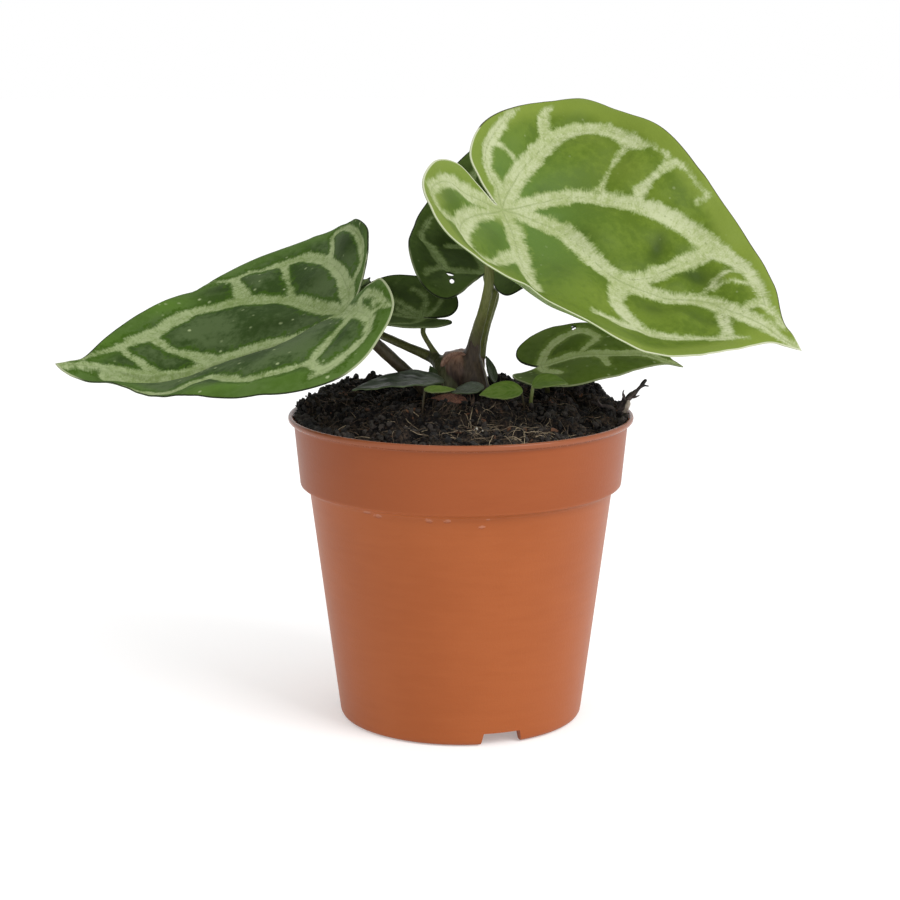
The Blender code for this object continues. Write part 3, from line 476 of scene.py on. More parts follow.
# How many of each small thing lie in the peat, and the few white grains: x, y and size.
CRUMBS = 2100
RIM_CRUMBS = 520
BARK_BITS = 230
PLANT_FIBRES = 520
STRAW_FIBRES = 190
ROOTLETS = 46
WHITE_GRAINS = (
    (5.2, -36.0, 0.45), (7.0, -37.4, 0.35), (4.4, -35.2, 0.3), (-30.0, -12.0, 0.3), (24.0, -31.0, 0.3))

# Blade relief: how far a vein is still told apart, points to a stretch of vein, what sets the
# streaks of one vein apart from the next one's, and the half width, in hundredths of the length,
# from which a vein has a raised rib. All veins of a blade shorter than SMALL_BLADE have one.
FAR = 15.0
VEIN_STEPS = 4
VEIN_SHIFT = 31.7
RIBBED_FROM = 1.2
SMALL_BLADE = 40
# The fields' swelling and how far from a vein it is full, in shares of the length, and how far the
# margin and the stalk keep the blade flat, in millimetres.
SWELL = 0.0108
SWELL_AT = 0.055
FLAT_RIM = 4.0
FLAT_HUB = 3.0
# Where the last ring of places before the margin lies, and over how much of the length a stretch of
# pale margin fades out at its ends.
LAST_RING = 0.996
SOFT_END = 0.04

# The dry root's main run, its side spurs and its split patch: x, y, z and radius.
TWIG = (
    (50.5, 2.0, 98, 1.4), (54.2, 1.0, 106, 1.3), (56.6, 0.0, 110.4, 1.1), (59.6, -0.6, 113.4, 0.85),
    (61.6, -1.0, 115.6, 0.6), (64.2, -1.0, 118.8, 0.5))
SPURS = (
    ((56.4, 0.2, 110.0, 0.7), (56.6, -1.0, 112.6, 0.5), (56.2, -1.4, 114.2, 0.3), (56.6, -1.4, 115.4, 0.15)),
    ((54.4, 0.8, 106.5, 0.8), (51.8, -1.4, 109.4, 0.7), (48.6, -2.2, 109.9, 0.5), (45.4, -2.6, 111.4, 0.25)),
    ((49.0, -2.2, 109.9, 0.4), (47.4, -3.6, 111.8, 0.3), (48.0, -4.0, 113.4, 0.15)),
    ((61.8, -0.9, 115.8, 0.45), (63.6, -0.2, 116.6, 0.35), (65.2, 0.2, 116.4, 0.2)),
    ((59.0, -0.5, 112.8, 0.6), (60.4, -1.8, 112.9, 0.4), (61.8, -2.4, 113.6, 0.2)),
)
SPLIT = ((56.8, -1.4, 107.4, 0.7), (57.8, -1.9, 109.6, 1.0), (58.2, -1.8, 111.6, 0.6))

# The camera's place in metres, its pitch in degrees and its lens in millimetres, and the lights:
# where they aim, and the place, size in metres and power in watts of each.
CAMERA_PLACE = (-0.00377, -0.7533, 0.2442)
CAMERA_PITCH = -11.29
LENS = 87.96
LAMP_AIM = (0, 0, 0.12)
LAMPS = {"key": ((1.0, -0.9, 1.1), 0.9, 18), "fill": ((-1.1, -0.9, 0.7), 1.0, 0.8)}


class Tone:
    """A value in a finish's nodes that Python's own operators turn into Math nodes."""

    def __init__(self, finish, socket):
        self.finish = finish
        self.socket = socket

    def math(self, operation, first, second=0.0):
        return self.finish.node("Math", {"operation": operation}, {0: first, 1: second})

    def __add__(self, other):
        return self.math("ADD", self, other)

    def __sub__(self, other):
        return self.math("SUBTRACT", self, other)

    def __rsub__(self, other):
        return self.math("SUBTRACT", other, self)

    def __mul__(self, other):
        return self.math("MULTIPLY", self, other)

    __radd__ = __add__
    __rmul__ = __mul__

    def __truediv__(self, other):
        return self.math("DIVIDE", self, other)

    def least(self, other):
        return self.math("MINIMUM", self, other)

    def rise(self, low, high):
        """Nought below the first value, one above the second, and smooth between."""
        ends = {"Value": self, "From Min": low, "From Max": high}
        return self.finish.node("MapRange", {"interpolation_type": "SMOOTHSTEP"}, ends)


class Finish:
    """A material of one Principled shader, and the nodes that vary its colour, gloss and relief."""

    def __init__(self, name, **fixed):
        self.material = bpy.data.materials.new(name)
        self.material.use_nodes = True
        self.tree = self.material.node_tree
        self.shader = self.tree.nodes["Principled BSDF"]
        for socket, value in fixed.items():
            title = socket.replace("_", " ").title().replace("Ior", "IOR")
            self.shader.inputs[title].default_value = value
        self.place = self.node("TexCoord", {}, {}, "Object")

    def node(self, kind, settings, sockets, out=0):
        """One node: its settings first, then the value or link of each socket."""
        made = self.tree.nodes.new("ShaderNode" + kind)
        for key, value in settings.items():
            setattr(made, key, value)
        for key, value in sockets.items():
            if isinstance(value, Tone):
                self.tree.links.new(value.socket, made.inputs[key])
            else:
                made.inputs[key].default_value = value
        return Tone(self, made.outputs[out])

    def attribute(self, name):
        """A value that the mesh stores for each vertex."""
        return self.node("Attribute", {"attribute_name": name}, {}, "Fac")

    def noise(self, scale, detail=2.0, roughness=0.5, distortion=0.0, where=None):
        return self.node("TexNoise", {}, {
            "Vector": where or self.place, "Scale": scale, "Detail": detail, "Roughness": roughness,
            "Distortion": distortion})

    def cells(self, scale):
        return self.node("TexVoronoi", {}, {"Vector": self.place, "Scale": scale}, "Distance")

    def point(self, x=0.0, y=0.0, z=0.0):
        return self.node("CombineXYZ", {}, {0: x, 1: y, 2: z})

    def parts(self):
        """The place's own x, y and z."""
        split = self.node("SeparateXYZ", {}, {0: self.place})
        return [Tone(self, socket) for socket in split.socket.node.outputs]

    def streaks(self, across, up):
        """Noise drawn out up or round a piece, by its scales across Z and along it."""
        x, y, z = self.parts()
        return self.noise(1.0, 3, 0.6, where=self.point(x * across, y * across, z * up))

    def blend(self, share, first, second):
        """The first colour where the share is nought and the second where it is one."""
        colours = [c if isinstance(c, Tone) else (*c, 1.0) for c in (first, second)]
        return self.node("Mix", {"data_type": "RGBA"}, {0: share, 6: colours[0], 7: colours[1]}, 2)

    def shades(self, tone, first, second):
        """The first colour where a noise is low and the second where it is high."""
        return self.blend(tone.rise(0.3, 0.7), first, second)

    def feed(self, socket, tone):
        """Links a value to one of the shader's own sockets."""
        self.tree.links.new(tone.socket, self.shader.inputs[socket])

    def relief(self, height, distance):
        """Raises the surface by the height's value times a distance in metres."""
        self.feed("Normal", self.node("Bump", {}, {"Height": height, "Distance": distance}))


def through(points, count):
    """A smooth curve through the points, read at evenly spread places along their list."""
    points = np.array(points, float)
    points = np.vstack([2 * points[0] - points[1], points, 2 * points[-1] - points[-2]])
    place = np.linspace(0, len(points) - 3, count)
    first = np.minimum(place.astype(int), len(points) - 4)
    t = (place - first)[:, None]
    a, b, c, d = (points[first + k] for k in range(4))
    return b + 0.5 * t * (c - a + t * (2 * a - 5 * b + 4 * c - d + t * (3 * b - a - 3 * c + d)))


def half_outline(leaf, count):
    """Half the outline from the tip to the notch, with the leaf's own width, lobe and gap."""
    points = np.array(leaf["outline"])
    along = np.where(points[:, 0] < 0, points[:, 0] * leaf["lobe"], points[:, 0])
    across = (points[:, 1] + points[:, 2] * leaf["gap"]) * leaf["width"]
    return through(np.stack([along, across], 1), count)


def softened(values, step):
    """Values along the midrib, each averaged with those near it."""
    reach = int(3 * SOFT_BEND / step)
    weight = np.exp(-0.5 * (np.arange(-reach, reach + 1) * step / SOFT_BEND) ** 2)
    return np.convolve(np.pad(values, reach, mode="edge"), weight / weight.sum(), "valid")


def lay(leaf, flat):
    """Bends flat blade places into the leaf: a drooping, sweeping midrib with a curled half each side."""
    u, v = flat[..., 0], flat[..., 1]
    station = np.linspace(-0.5, 1.05, 156)
    step = station[1] - station[0]
    droop = np.radians(np.interp(station, DROOP_AT, leaf["droop"]))
    sweep = np.radians(np.interp(station, SWEEP_AT, (0, *leaf["sweep"])))
    slope = np.stack([np.cos(droop) * np.cos(sweep), np.cos(droop) * np.sin(sweep), -np.sin(droop)])
    spine = np.cumsum(slope, axis=1) * step
    spine -= np.array([np.interp(0, station, row) for row in spine])[:, None]
    centre = [np.interp(u, station, row) for row in spine]
    side, away = np.sign(v), np.abs(v)
    curls = [np.interp(u, CURL_AT, leaf[half]) for half in ("curl_left", "curl_right")]
    curl = np.radians(np.where(v > 0, curls[0], curls[1])) / FULL_WIDTH
    fold = math.radians(leaf["fold"])
    out, up = np.zeros_like(away), np.zeros_like(away)
    for part in (np.arange(6) + 0.5) / 6:
        tilt = fold * (1 - np.exp(-away * part / CREASE)) + curl * away * part
        out += np.cos(tilt) * away / 6
        up += np.sin(tilt) * away / 6
    roll = math.radians(leaf["roll"])
    left = side * out * math.cos(roll) - up * math.sin(roll)
    rise = side * out * math.sin(roll) + up * math.cos(roll)
    down, turn = (np.interp(u, station, softened(angle, step)) for angle in (droop, sweep))
    x = centre[0] + rise * np.sin(down) * np.cos(turn) - left * np.sin(turn)
    y = centre[1] + rise * np.sin(down) * np.sin(turn) + left * np.cos(turn)
    z = centre[2] + rise * np.cos(down)
    c, s = math.cos(math.radians(leaf["heading"])), math.sin(math.radians(leaf["heading"]))
    return np.stack([x * c - y * s, x * s + y * c, z], -1) * leaf["length"] + np.array(leaf["junction"])


def facing(leaf):
    """The unit vector out of the blade's upper side where its stalk joins it."""
    small = 0.004
    back, front, right, left = lay(leaf, np.array([(-small, 0), (small, 0), (0, -small), (0, small)]))
    normal = np.cross(front - back, left - right)
    return normal / np.linalg.norm(normal)


def nearest(points, line):
    """How far each flat point is from a line of places, and where on it that is."""
    start, step = line[:-1, :2], np.diff(line[:, :2], axis=0)
    reach = (step**2).sum(1) + 1e-9
    t = np.clip(((points[:, None] - start) * step).sum(2) / reach, 0, 1)
    apart = points[:, None] - start - t[..., None] * step
    gap = np.hypot(apart[..., 0], apart[..., 1])
    best = gap.argmin(1)
    rows = np.arange(len(points))
    return gap[rows, best], best + t[rows, best]


def clear_choice():
    """Leaves no object chosen."""
    bpy.ops.object.select_all(action="DESELECT")


def choose(*things):
    """Makes some objects the only chosen ones, and the first of them the active one."""
    clear_choice()
    for thing in things:
        thing.select_set(True)
    bpy.context.view_layer.objects.active = things[0]


def loose(name, mesh, finishes, smooth=True):
    """A new object with its finishes, which isn't a piece yet."""
    made = bpy.data.objects.new(name, mesh)
    bpy.context.scene.collection.objects.link(made)
    dress(made, finishes, smooth)
    return made


def add_piece(name, mesh, finishes, stands_for=(), smooth=True):
    """A finished mesh as a piece of the plant that rides on the one body."""
    settle(loose(name, mesh, finishes, smooth), stands_for)


def dress(made, finishes, smooth=True):
    """Gives a piece its finishes, and keeps which face has which of them."""
    flags = np.zeros(len(made.data.polygons), np.int32)
    made.data.polygons.foreach_get("material_index", flags)
    made.data.materials.clear()
    for finish in finishes:
        made.data.materials.append(finish.material)
    made.data.polygons.foreach_set("material_index", np.minimum(flags, len(finishes) - 1))
    if smooth:
        made.data.shade_smooth()


def settle(made, stands_for=()):
    """Says what a piece rides on and which nodes it stands for."""
    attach(made, "root")
    if stands_for:
        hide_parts(*stands_for)


def keep(mesh, key, numbers):
    """Stores a value for each vertex under a name."""
    values = mesh.attributes.new(key, "FLOAT", "POINT").data
    values.foreach_set("value", np.asarray(numbers, np.float32))


def to_mesh(name, places, faces, values=None, second=0):
    """A mesh from places in millimetres, with a value a vertex kept under each name given."""
    mesh = bpy.data.meshes.new(name)
    mesh.from_pydata((np.asarray(places) * MM).tolist(), [], faces)
    for key, numbers in (values or {}).items():
        keep(mesh, key, numbers)
    if second:
        flags = np.zeros(len(mesh.polygons), np.int32)
        flags[second:] = 1
        mesh.polygons.foreach_set("material_index", flags)
    mesh.update()
    return mesh


def fan(centre, first, around):
    """Three-sided faces from one vertex to a ring."""
    return [(centre, first + k, first + (k + 1) % around) for k in range(around)]


def bands(first, count, around, outward=False):
    """Four-sided faces between rings of vertices that follow each other."""
    faces = []
    for ring in range(count):
        for k in range(around):
            here, after = (first + ring * around + j for j in (k, (k + 1) % around))
            far, far_after = here + around, after + around
            faces.append((here, after, far_after, far) if outward else (here, far, far_after, after))
    return faces


def spots(flat, places):
    """The strength at each flat place of a few soft-edged spots."""
    total = np.zeros(len(flat))
    for u, v, reach_u, reach_v, strength in places:
        far = ((flat[:, 0] - u) / reach_u) ** 2 + ((flat[:, 1] - v) / reach_v) ** 2
        total += strength * np.exp(-far)
    return total.clip(0, 1)


def pale_margin(flat, stretches):
    """One where the margin nearby is pale, and nought where it is dark."""
    share = np.zeros(len(flat))
    for half, first, last, widest in stretches:
        after = np.clip((flat[:, 0] - first) / SOFT_END, 0, 1)
        before = np.clip((last - flat[:, 0]) / SOFT_END + 1, 0, 1)
        inside = (flat[:, 1] * half > -0.001) & (np.abs(flat[:, 1]) < widest)
        share = np.maximum(share, after * before * inside)
    return share


def vein_fields(flat, veins, length):
    """How each flat place lies to the veins, in millimetres.

    It tells how far the nearest vein's edge is, where along that vein the place lies, how far a
    raised rib is, how deep the veins sink the blade there, and how far any vein's middle is.
    """
    edge, rib, near = (np.full(len(flat), FAR) for _ in range(3))
    along, sink = np.zeros(len(flat)), np.zeros(len(flat))
    for number, rows in enumerate(veins.values()):
        line = through(np.array(rows, float) / 100, (len(rows) - 1) * VEIN_STEPS + 1)
        gap, where = nearest(flat, line)
        gap, index = gap * length, np.arange(len(line))
        wide = np.interp(where, index, line[:, 2]) * length
        travel = np.append(0, np.cumsum(np.hypot(*np.diff(line[:, :2], axis=0).T))) * length
        closer = gap - wide < edge
        edge = np.where(closer, gap - wide, edge)
        along = np.where(closer, np.interp(where, index, travel) + VEIN_SHIFT * number, along)
        if max(row[2] for row in rows) > RIBBED_FROM or length < SMALL_BLADE:
            rib = np.minimum(rib, gap + 0.25 * np.clip(1.2 - wide, 0, 1))
        deep = np.minimum(0.16 * wide + 0.05, 0.5)
        sink = np.maximum(sink, deep * np.exp(-(gap / (0.7 + 0.8 * wide)) ** 2))
        near = np.minimum(near, gap)
    return edge, along, rib, sink, near


def ripple(u, v, seed):
    """The small unevenness of a blade at a flat place, about nought."""
    wide, fine = (noise.noise(Vector((u * k, v * k, seed + s))) for k, s in ((6, 0), (17, 5)))
    return wide + 0.35 * fine


def blade_mesh(name, leaf, fineness, veins, own, ruffle):
    """A blade of two faces and a rounded margin, puffed between its veins.

    Each vertex knows how far it is from the nearest vein's edge, from the vein's own middle, from
    the margin, the stalk and a hole, and how far along its vein it lies, in millimetres.
    """
    length = leaf["length"]
    half = half_outline(leaf, fineness[0])
    margin = np.vstack([half, half[-2:0:-1] * (1, -1)])
    count, rings = len(margin), fineness[1]
    shares = np.append((np.arange(rings) + 1) / rings * LAST_RING, 1.0)
    flat = np.vstack([[(0, 0)], *(margin * share for share in shares)])
    edge, along, rib, sink, near = vein_fields(flat, veins, length)
    rim = nearest(flat, np.vstack([margin, margin[:1]]))[0] * length
    hub = np.hypot(flat[:, 0], flat[:, 1]) * length
    swell = SWELL * length * (1 - np.exp(-((near / (SWELL_AT * length)) ** 2)))
    height = swell * (1 - np.exp(-rim / FLAT_RIM)) - sink
    away = np.clip(flat[:, 1], 0, None) / SAG_AT
    height -= own.get("sag", 0) * away * np.exp(1 - away) * np.clip((flat[:, 0] - 0.03) / 0.15, 0, 1)
    for u, v, reach, high in own.get("puffs", ()):
        height += high * np.exp(-((flat[:, 0] - u) ** 2 + (flat[:, 1] - v) ** 2) / reach**2)
    height += ruffle * np.array([ripple(u, v, len(name) * 3.7) for u, v in flat])
    height *= 1 - 0.8 * np.exp(-((hub / FLAT_HUB) ** 2))
    hole = np.full(len(flat), 9.0)
    for u, v, reach_u, reach_v in own.get("holes", ()):
        hole = np.minimum(hole, np.hypot((flat[:, 0] - u) / reach_u, (flat[:, 1] - v) / reach_v))
    faces = fan(0, 1, count) + bands(1, rings, count)
    middle = lay(leaf, flat)
    middle = middle + vertex_normals(middle, faces) * height[:, None]
    thick = vertex_normals(middle, faces) * BLADE / 2
    thick[-count:] = 0
    last, total = 1 + rings * count, len(flat)
    places = np.vstack([middle + thick, (middle - thick)[:last]])
    under = [tuple(i + total if i < last else i for i in reversed(face)) for face in faces]
    # Each vertex also keeps its share of painted shade, of yellower colour and painted highlight, and of pale
    # margin.
    values = {
        "edge": edge, "along": along, "rib": rib, "rim": rim, "hole": hole, "hub": hub,
        "painted_shade": spots(flat, own.get("painted_shade", ())), "yellow_and_painted_light": spots(flat, own.get("yellow_and_painted_light", ())),
        "pale": pale_margin(flat, own.get("pale", ())),
    }
    values = {key: np.concatenate([numbers, numbers[:last]]) for key, numbers in values.items()}
    return to_mesh(name, places, faces + under, values, second=len(faces))


def vertex_normals(places, faces):
    normals = np.zeros_like(places)
    for size in (3, 4):
        corners = np.array([face for face in faces if len(face) == size], int)
        if len(corners):
            side = places[corners[:, 1]] - places[corners[:, 0]]
            across = np.cross(side, places[corners[:, 2]] - places[corners[:, 0]])
            for column in range(size):
                np.add.at(normals, corners[:, column], across)
    return normals / np.linalg.norm(normals, axis=1)[:, None]


def rod_mesh(
        name, rows, sides, flat=1.0, face=(0, 0, 1), ribs=0.0, seed=0.0, brown=(0.5, 0.5, 0, 1), tip=0.6):
    """A stem along rows of x, y, z and radius with rounded ends, which can be flattened one way."""
    rows = np.array(rows, float)
    middle, radius = rows[:, :3], rows[:, 3]
    ahead = np.gradient(middle, axis=0)
    ahead /= np.linalg.norm(ahead, axis=1)[:, None]
    travel = np.append(0, np.cumsum(np.linalg.norm(np.diff(middle, axis=0), axis=1)))
    side = np.cross(ahead, np.array(face, float))
    side /= np.linalg.norm(side, axis=1)[:, None] + 1e-9
    for k in range(1, len(side)):
        if side[k] @ side[k - 1] < 0:
            side[k] = -side[k]
    up = np.cross(side, ahead)
    angle = np.arange(sides) / sides * 2 * math.pi
    places = []
    for k in range(len(rows)):
        where = [Vector((2 * math.cos(a), 2 * math.sin(a), travel[k] * 0.35 + seed)) for a in angle]
        bumpy = np.array([1 + ribs * noise.noise(place) for place in where])
        around = side[k] * np.cos(angle)[:, None] + up[k] * np.sin(angle)[:, None] * flat
        places.append(middle[k] + around * (radius[k] * bumpy)[:, None])
    first = middle[0] - ahead[0] * radius[0] * tip
    final = middle[-1] + ahead[-1] * radius[-1] * tip
    places = np.vstack([*places, first, final])
    start = len(rows) * sides
    faces = bands(0, len(rows) - 1, sides, outward=True) + fan(start + 1, start - sides, sides)
    faces += [near[::-1] for near in fan(start, 0, sides)]
    low, high, bottom, top = brown
    share = np.interp(places[:, 2], (bottom, top), (low, high))
    end = np.linalg.norm(places - middle[-1], axis=1)
    return to_mesh(name, places, faces, {"brown": share, "near_leaf": np.clip(1.3 - end / 4.5, 0, 1)})


def join(name, pieces):
    """One object of several: all are chosen and joined into the first."""
    choose(*pieces)
    bpy.ops.object.join()
    pieces[0].name = name
    clear_choice()
    return pieces[0]


def eat_holes(finish, mottle):
    """Takes the blade away inside its small holes, with a ragged edge."""
    bite = finish.attribute("hole") + (mottle - 0.5) * 0.8
    finish.feed("Alpha", bite.rise(0.95, 1.0))


def blade_finish(name, look):
    """A leaf's upper side: dark and light fields with painted shade, painted highlights and a painted bluish
    sheen near the stalk, feathered silver on the veins, specks that on the dark blade are painted glints, and
    a pale rim or a dark one of painted edge shade.
    """
    finish = Finish(name, roughness=look["gloss"], specular_ior_level=look["shine"])
    keys = ("edge", "along", "rib", "rim", "hub", "painted_shade", "yellow_and_painted_light", "pale")
    edge, along, rib, rim, hub, painted_shade, yellow_and_painted_light, pale = (finish.attribute(key) for key in keys)
    patches = finish.noise(55, 3)
    mottle = finish.noise(420, 3, 0.6)
    grain = finish.noise(1500, 2)
    uneven = finish.noise(190, 3, 0.6)
    streaks = finish.noise(look["feather"], 3, 0.65, where=finish.point(along, edge * 0.2))
    rough = (streaks - 0.5) * 0.75 + (mottle - 0.5) * 0.6 + (uneven - 0.5) * 1.1
    reach = rough * look["ragged"] + look["wide"]
    silver = (reach + (grain - 0.5) * 0.7 - edge).rise(-look["soft"], look["soft"] * 0.8)
    field = finish.blend((patches + (mottle - 0.5) * 0.6).rise(0.35, 0.68), look["field"], look["field_b"])
    # A painted bluish sheen on the fields near the stalk, in the hub colour.
    centre = 1 - hub.rise(0.10 * look["size"], 0.45 * look["size"])
    field = finish.blend(centre * look["hub_sheen_share"], field, look["hub"])
    outer = 1 - (rim + (patches - 0.5) * 8).rise(look["border"] * 0.35, look["border"])
    field = finish.blend(outer * look["border_share"], field, look["border_colour"])
    # Painted shade of folds, dips and leaves above, in the deep colour.
    field = finish.blend((painted_shade + (mottle - 0.5) * 0.5 * painted_shade) * 0.9, field, look["deep"])
    # Yellower patches and painted highlights on bulges, in the border colour.
    field = finish.blend((yellow_and_painted_light + (mottle - 0.5) * 0.8 * yellow_and_painted_light).least(1.0), field, look["border_colour"])
    near = (reach * 1.7 + (mottle - 0.5) * look["halo_patch"] + look["halo_reach"] - edge).rise(-0.7, 0.9)
    field = finish.blend(near * look["halo"], field, look["halo_colour"])
    # Small silver specks, which on the dark blade stand in for glints of its sheen: painted highlights.
    specks_and_glints = 1 - (finish.cells(look["fleck_scale"]) + (mottle - 0.5) * 0.3).rise(0.06, look["fleck_size"])
    where = finish.noise(130, 2).rise(0.5, 0.66)
    field = finish.blend(specks_and_glints * where * look["specks_and_glints"], field, look["silver"])
    shade = mottle * 0.5 + patches * 0.5 + streaks * 0.3 + (grain - 0.5) * 0.4
    tone = finish.blend(shade.rise(0.45, 0.8), look["silver_b"], look["silver"])
    colour = finish.blend(silver * look["silver_share"], field, tone)
    heart = (1 - (hub + (mottle - 0.5) * 5).rise(0.0, 0.085 * look["size"])) * look["heart_share"]
    colour = finish.blend(heart, colour, look["silver_b"])
    line = (1 - rib.rise(look["line"] * 0.3, look["line"])) * (0.35 + mottle).least(1.0)
    colour = finish.blend(line * look["line_share"], colour, look["line_colour"])
    # A line along the margin, pale on the listed stretches and elsewhere in the rim_dark colour, which on the
    # grown leaves is painted edge shade.
    lip = 1 - (rim / (pale * 0.2 + 1.1)).rise(look["rim"] * 0.6, look["rim"] * 1.3)
    colour = finish.blend(lip * 0.9, colour, finish.blend(pale, look["rim_dark"], look["rim_pale"]))
    finish.feed("Base Color", colour)
    finish.feed("Roughness", silver * 0.08 + (mottle - 0.5) * 0.12 + look["gloss"])
    finish.relief(mottle * 0.5 + grain * 0.16 + rib.rise(0.0, 0.6) * 0.7 + silver * 0.25, look["grain"])
    if look["holes"]:
        eat_holes(finish, mottle)
    return finish


def under_finish(name, field, vein, holes=False):
    """A leaf's underside: pale and matt, with its veins standing out."""
    finish = Finish(name, roughness=0.55, specular_ior_level=0.25)
    mottle = finish.noise(300, 3)
    edge, rib = (finish.attribute(key) for key in ("edge", "rib"))
    colour = finish.shades(mottle, field, tuple(0.8 * c for c in field))
    colour = finish.blend((1 - edge.rise(-1.0, 1.2)) * 0.2, colour, vein)
    colour = finish.blend((1 - rib.rise(0.3, 0.9)) * 0.7, colour, vein)
    finish.feed("Base Color", colour)
    finish.relief(mottle * 0.4 + (1 - rib.rise(0.1, 1.0)) * 2.0, 0.0004)
    if holes:
        eat_holes(finish, mottle)
    return finish


# How each kind of blade looks, each kind but the first as an earlier one with its own changes.
# Size, border, reach, soft, ragged, wide, line and rim are millimetres, and a share is of one.
# Of these colours, deep is painted shade, hub a painted bluish sheen near the stalk, and rim_dark, on the
# grown leaves, painted edge shade.
BRIGHT = dict(
    size=114, gloss=0.5, shine=0.12, grain=0.00026, ragged=2.9, wide=0.0, feather=1.5, soft=1.35,
    border=11.0, border_share=0.65, halo=0.6, halo_reach=0.9, halo_patch=1.8, specks_and_glints=0.2,
    fleck_scale=290, fleck_size=0.17, holes=False, field=(0.066, 0.110, 0.005),
    field_b=(0.098, 0.150, 0.011), border_colour=(0.165, 0.220, 0.030), hub=(0.078, 0.148, 0.030),
    hub_sheen_share=0.6, deep=(0.026, 0.050, 0.003), halo_colour=(0.140, 0.200, 0.035),
    silver=(0.392, 0.426, 0.252), silver_b=(0.255, 0.302, 0.122), silver_share=0.96, heart_share=0.6,
    line=0.36, line_share=0.5, line_colour=(0.17, 0.225, 0.070), rim=0.42, rim_pale=(0.44, 0.46, 0.32),
    rim_dark=(0.034, 0.030, 0.013))
DARK = dict(
    BRIGHT, size=106, gloss=0.55, shine=0.02, ragged=2.7, soft=1.0, border=10.0, border_share=0.5,
    halo=0.85, halo_reach=1.6, halo_patch=5.0, specks_and_glints=0.9, fleck_size=0.26, field=(0.026, 0.050, 0.010),
    field_b=(0.066, 0.100, 0.036), border_colour=(0.072, 0.140, 0.018), hub=(0.060, 0.085, 0.035),
    hub_sheen_share=0.3, deep=(0.014, 0.028, 0.004), halo_colour=(0.036, 0.078, 0.006),
    silver=(0.280, 0.335, 0.170), silver_b=(0.155, 0.210, 0.070), silver_share=0.94, heart_share=0.75,
    line_share=0.3, line_colour=(0.120, 0.165, 0.050), rim_pale=(0.30, 0.33, 0.20),
    rim_dark=(0.016, 0.020, 0.010))
SHADED = dict(
    DARK, size=73, wide=0.3, field=(0.030, 0.052, 0.009), field_b=(0.058, 0.092, 0.020),
    border_colour=(0.060, 0.100, 0.018), border=5.0, border_share=0.25, deep=(0.012, 0.022, 0.004),
    halo=0.5, halo_reach=0.8, halo_patch=2.0, silver=(0.210, 0.270, 0.115),
    silver_b=(0.120, 0.170, 0.055), ragged=2.2, silver_share=0.85, heart_share=0.4,
    halo_colour=(0.050, 0.084, 0.010), line_share=0.2, holes=True, specks_and_glints=0.35,
    rim_pale=(0.15, 0.18, 0.09))
MIDDLE = dict(
    DARK, size=51, wide=0.9, field=(0.094, 0.150, 0.019), field_b=(0.130, 0.195, 0.034), border=5.0,
    border_share=0.2, border_colour=(0.130, 0.200, 0.032), deep=(0.050, 0.086, 0.011), halo=0.6,
    halo_reach=0.9, halo_patch=1.5, halo_colour=(0.180, 0.260, 0.048), silver=(0.500, 0.580, 0.290),
    silver_b=(0.370, 0.460, 0.170), ragged=1.8, soft=0.6, heart_share=0.3, rim_pale=(0.30, 0.34, 0.18),
    holes=True)
SMALL_BRIGHT = dict(
    BRIGHT, size=14, wide=0.12, ragged=0.5, soft=0.3, border=3.0, field=(0.085, 0.160, 0.018),
    field_b=(0.125, 0.205, 0.030), deep=(0.05, 0.10, 0.012), halo=0.2, halo_reach=0.2, hub_sheen_share=0.2,
    heart_share=0.2, silver=(0.18, 0.26, 0.065), silver_b=(0.14, 0.22, 0.045), silver_share=0.5,
    rim=0.16, specks_and_glints=0.0, line=0.2, line_share=0.2, grain=0.0001, border_colour=(0.12, 0.19, 0.03),
    border_share=0.2, rim_dark=(0.16, 0.22, 0.06))
SMALL_GREY = dict(
    DARK, size=20, ragged=0.6, soft=0.35, border=3.0, field=(0.030, 0.042, 0.030),
    field_b=(0.058, 0.072, 0.056), halo=0.2, halo_reach=0.3, halo_patch=1.0,
    halo_colour=(0.055, 0.075, 0.045), border_colour=(0.050, 0.066, 0.040), silver=(0.130, 0.155, 0.115),
    silver_b=(0.095, 0.115, 0.080), silver_share=0.6, heart_share=0.2, rim=0.16, specks_and_glints=0.1, line=0.2,
    gloss=0.3, shine=0.5, rim_dark=(0.075, 0.10, 0.055), grain=0.00012)
SMALL_DARK = dict(
    SMALL_GREY, field=(0.020, 0.033, 0.010), field_b=(0.032, 0.050, 0.016), border_colour=(0.03, 0.05, 0.015),
    silver=(0.07, 0.10, 0.035), silver_b=(0.05, 0.08, 0.025), shine=0.25, gloss=0.42)

finishes = {
    "bright": blade_finish("bright_blade", BRIGHT),
    "dark": blade_finish("dark_blade", DARK),
    "shaded": blade_finish("shaded_blade", SHADED),
    "middle": blade_finish("middle_green_blade", MIDDLE),
    "small_bright": blade_finish("small_bright_blade", SMALL_BRIGHT),
    "small_grey": blade_finish("small_grey_blade", SMALL_GREY),
    "small_dark": blade_finish("small_dark_blade", SMALL_DARK),
    "under_bright": under_finish("bright_underside", (0.20, 0.28, 0.09), (0.33, 0.40, 0.18)),
    "under_dark": under_finish("dark_underside", (0.095, 0.135, 0.060), (0.20, 0.26, 0.12), holes=True),
}


def petiole_finish():
    """Olive green, or brown where the stem says so, with fine lengthwise streaks."""
    finish = Finish("petiole", roughness=0.45, specular_ior_level=0.3)
    streaks = finish.streaks(2200, 160)
    mottle = finish.noise(380, 3)
    share = (finish.attribute("brown") + (mottle - 0.5) * 0.4 + (streaks - 0.5) * 0.5).rise(0.0, 1.0)
    brown = finish.shades(streaks, (0.030, 0.021, 0.012), (0.060, 0.044, 0.025))
    green = finish.shades(streaks, (0.088, 0.104, 0.020), (0.150, 0.162, 0.045))
    skin = finish.blend(share, green, brown)
    pale = finish.attribute("near_leaf") * (1 - share * 0.85)
    finish.feed("Base Color", finish.blend(pale, skin, (0.200, 0.240, 0.085)))
    finish.relief(streaks * 0.6 + mottle * 0.3, 0.0003)
    return finish


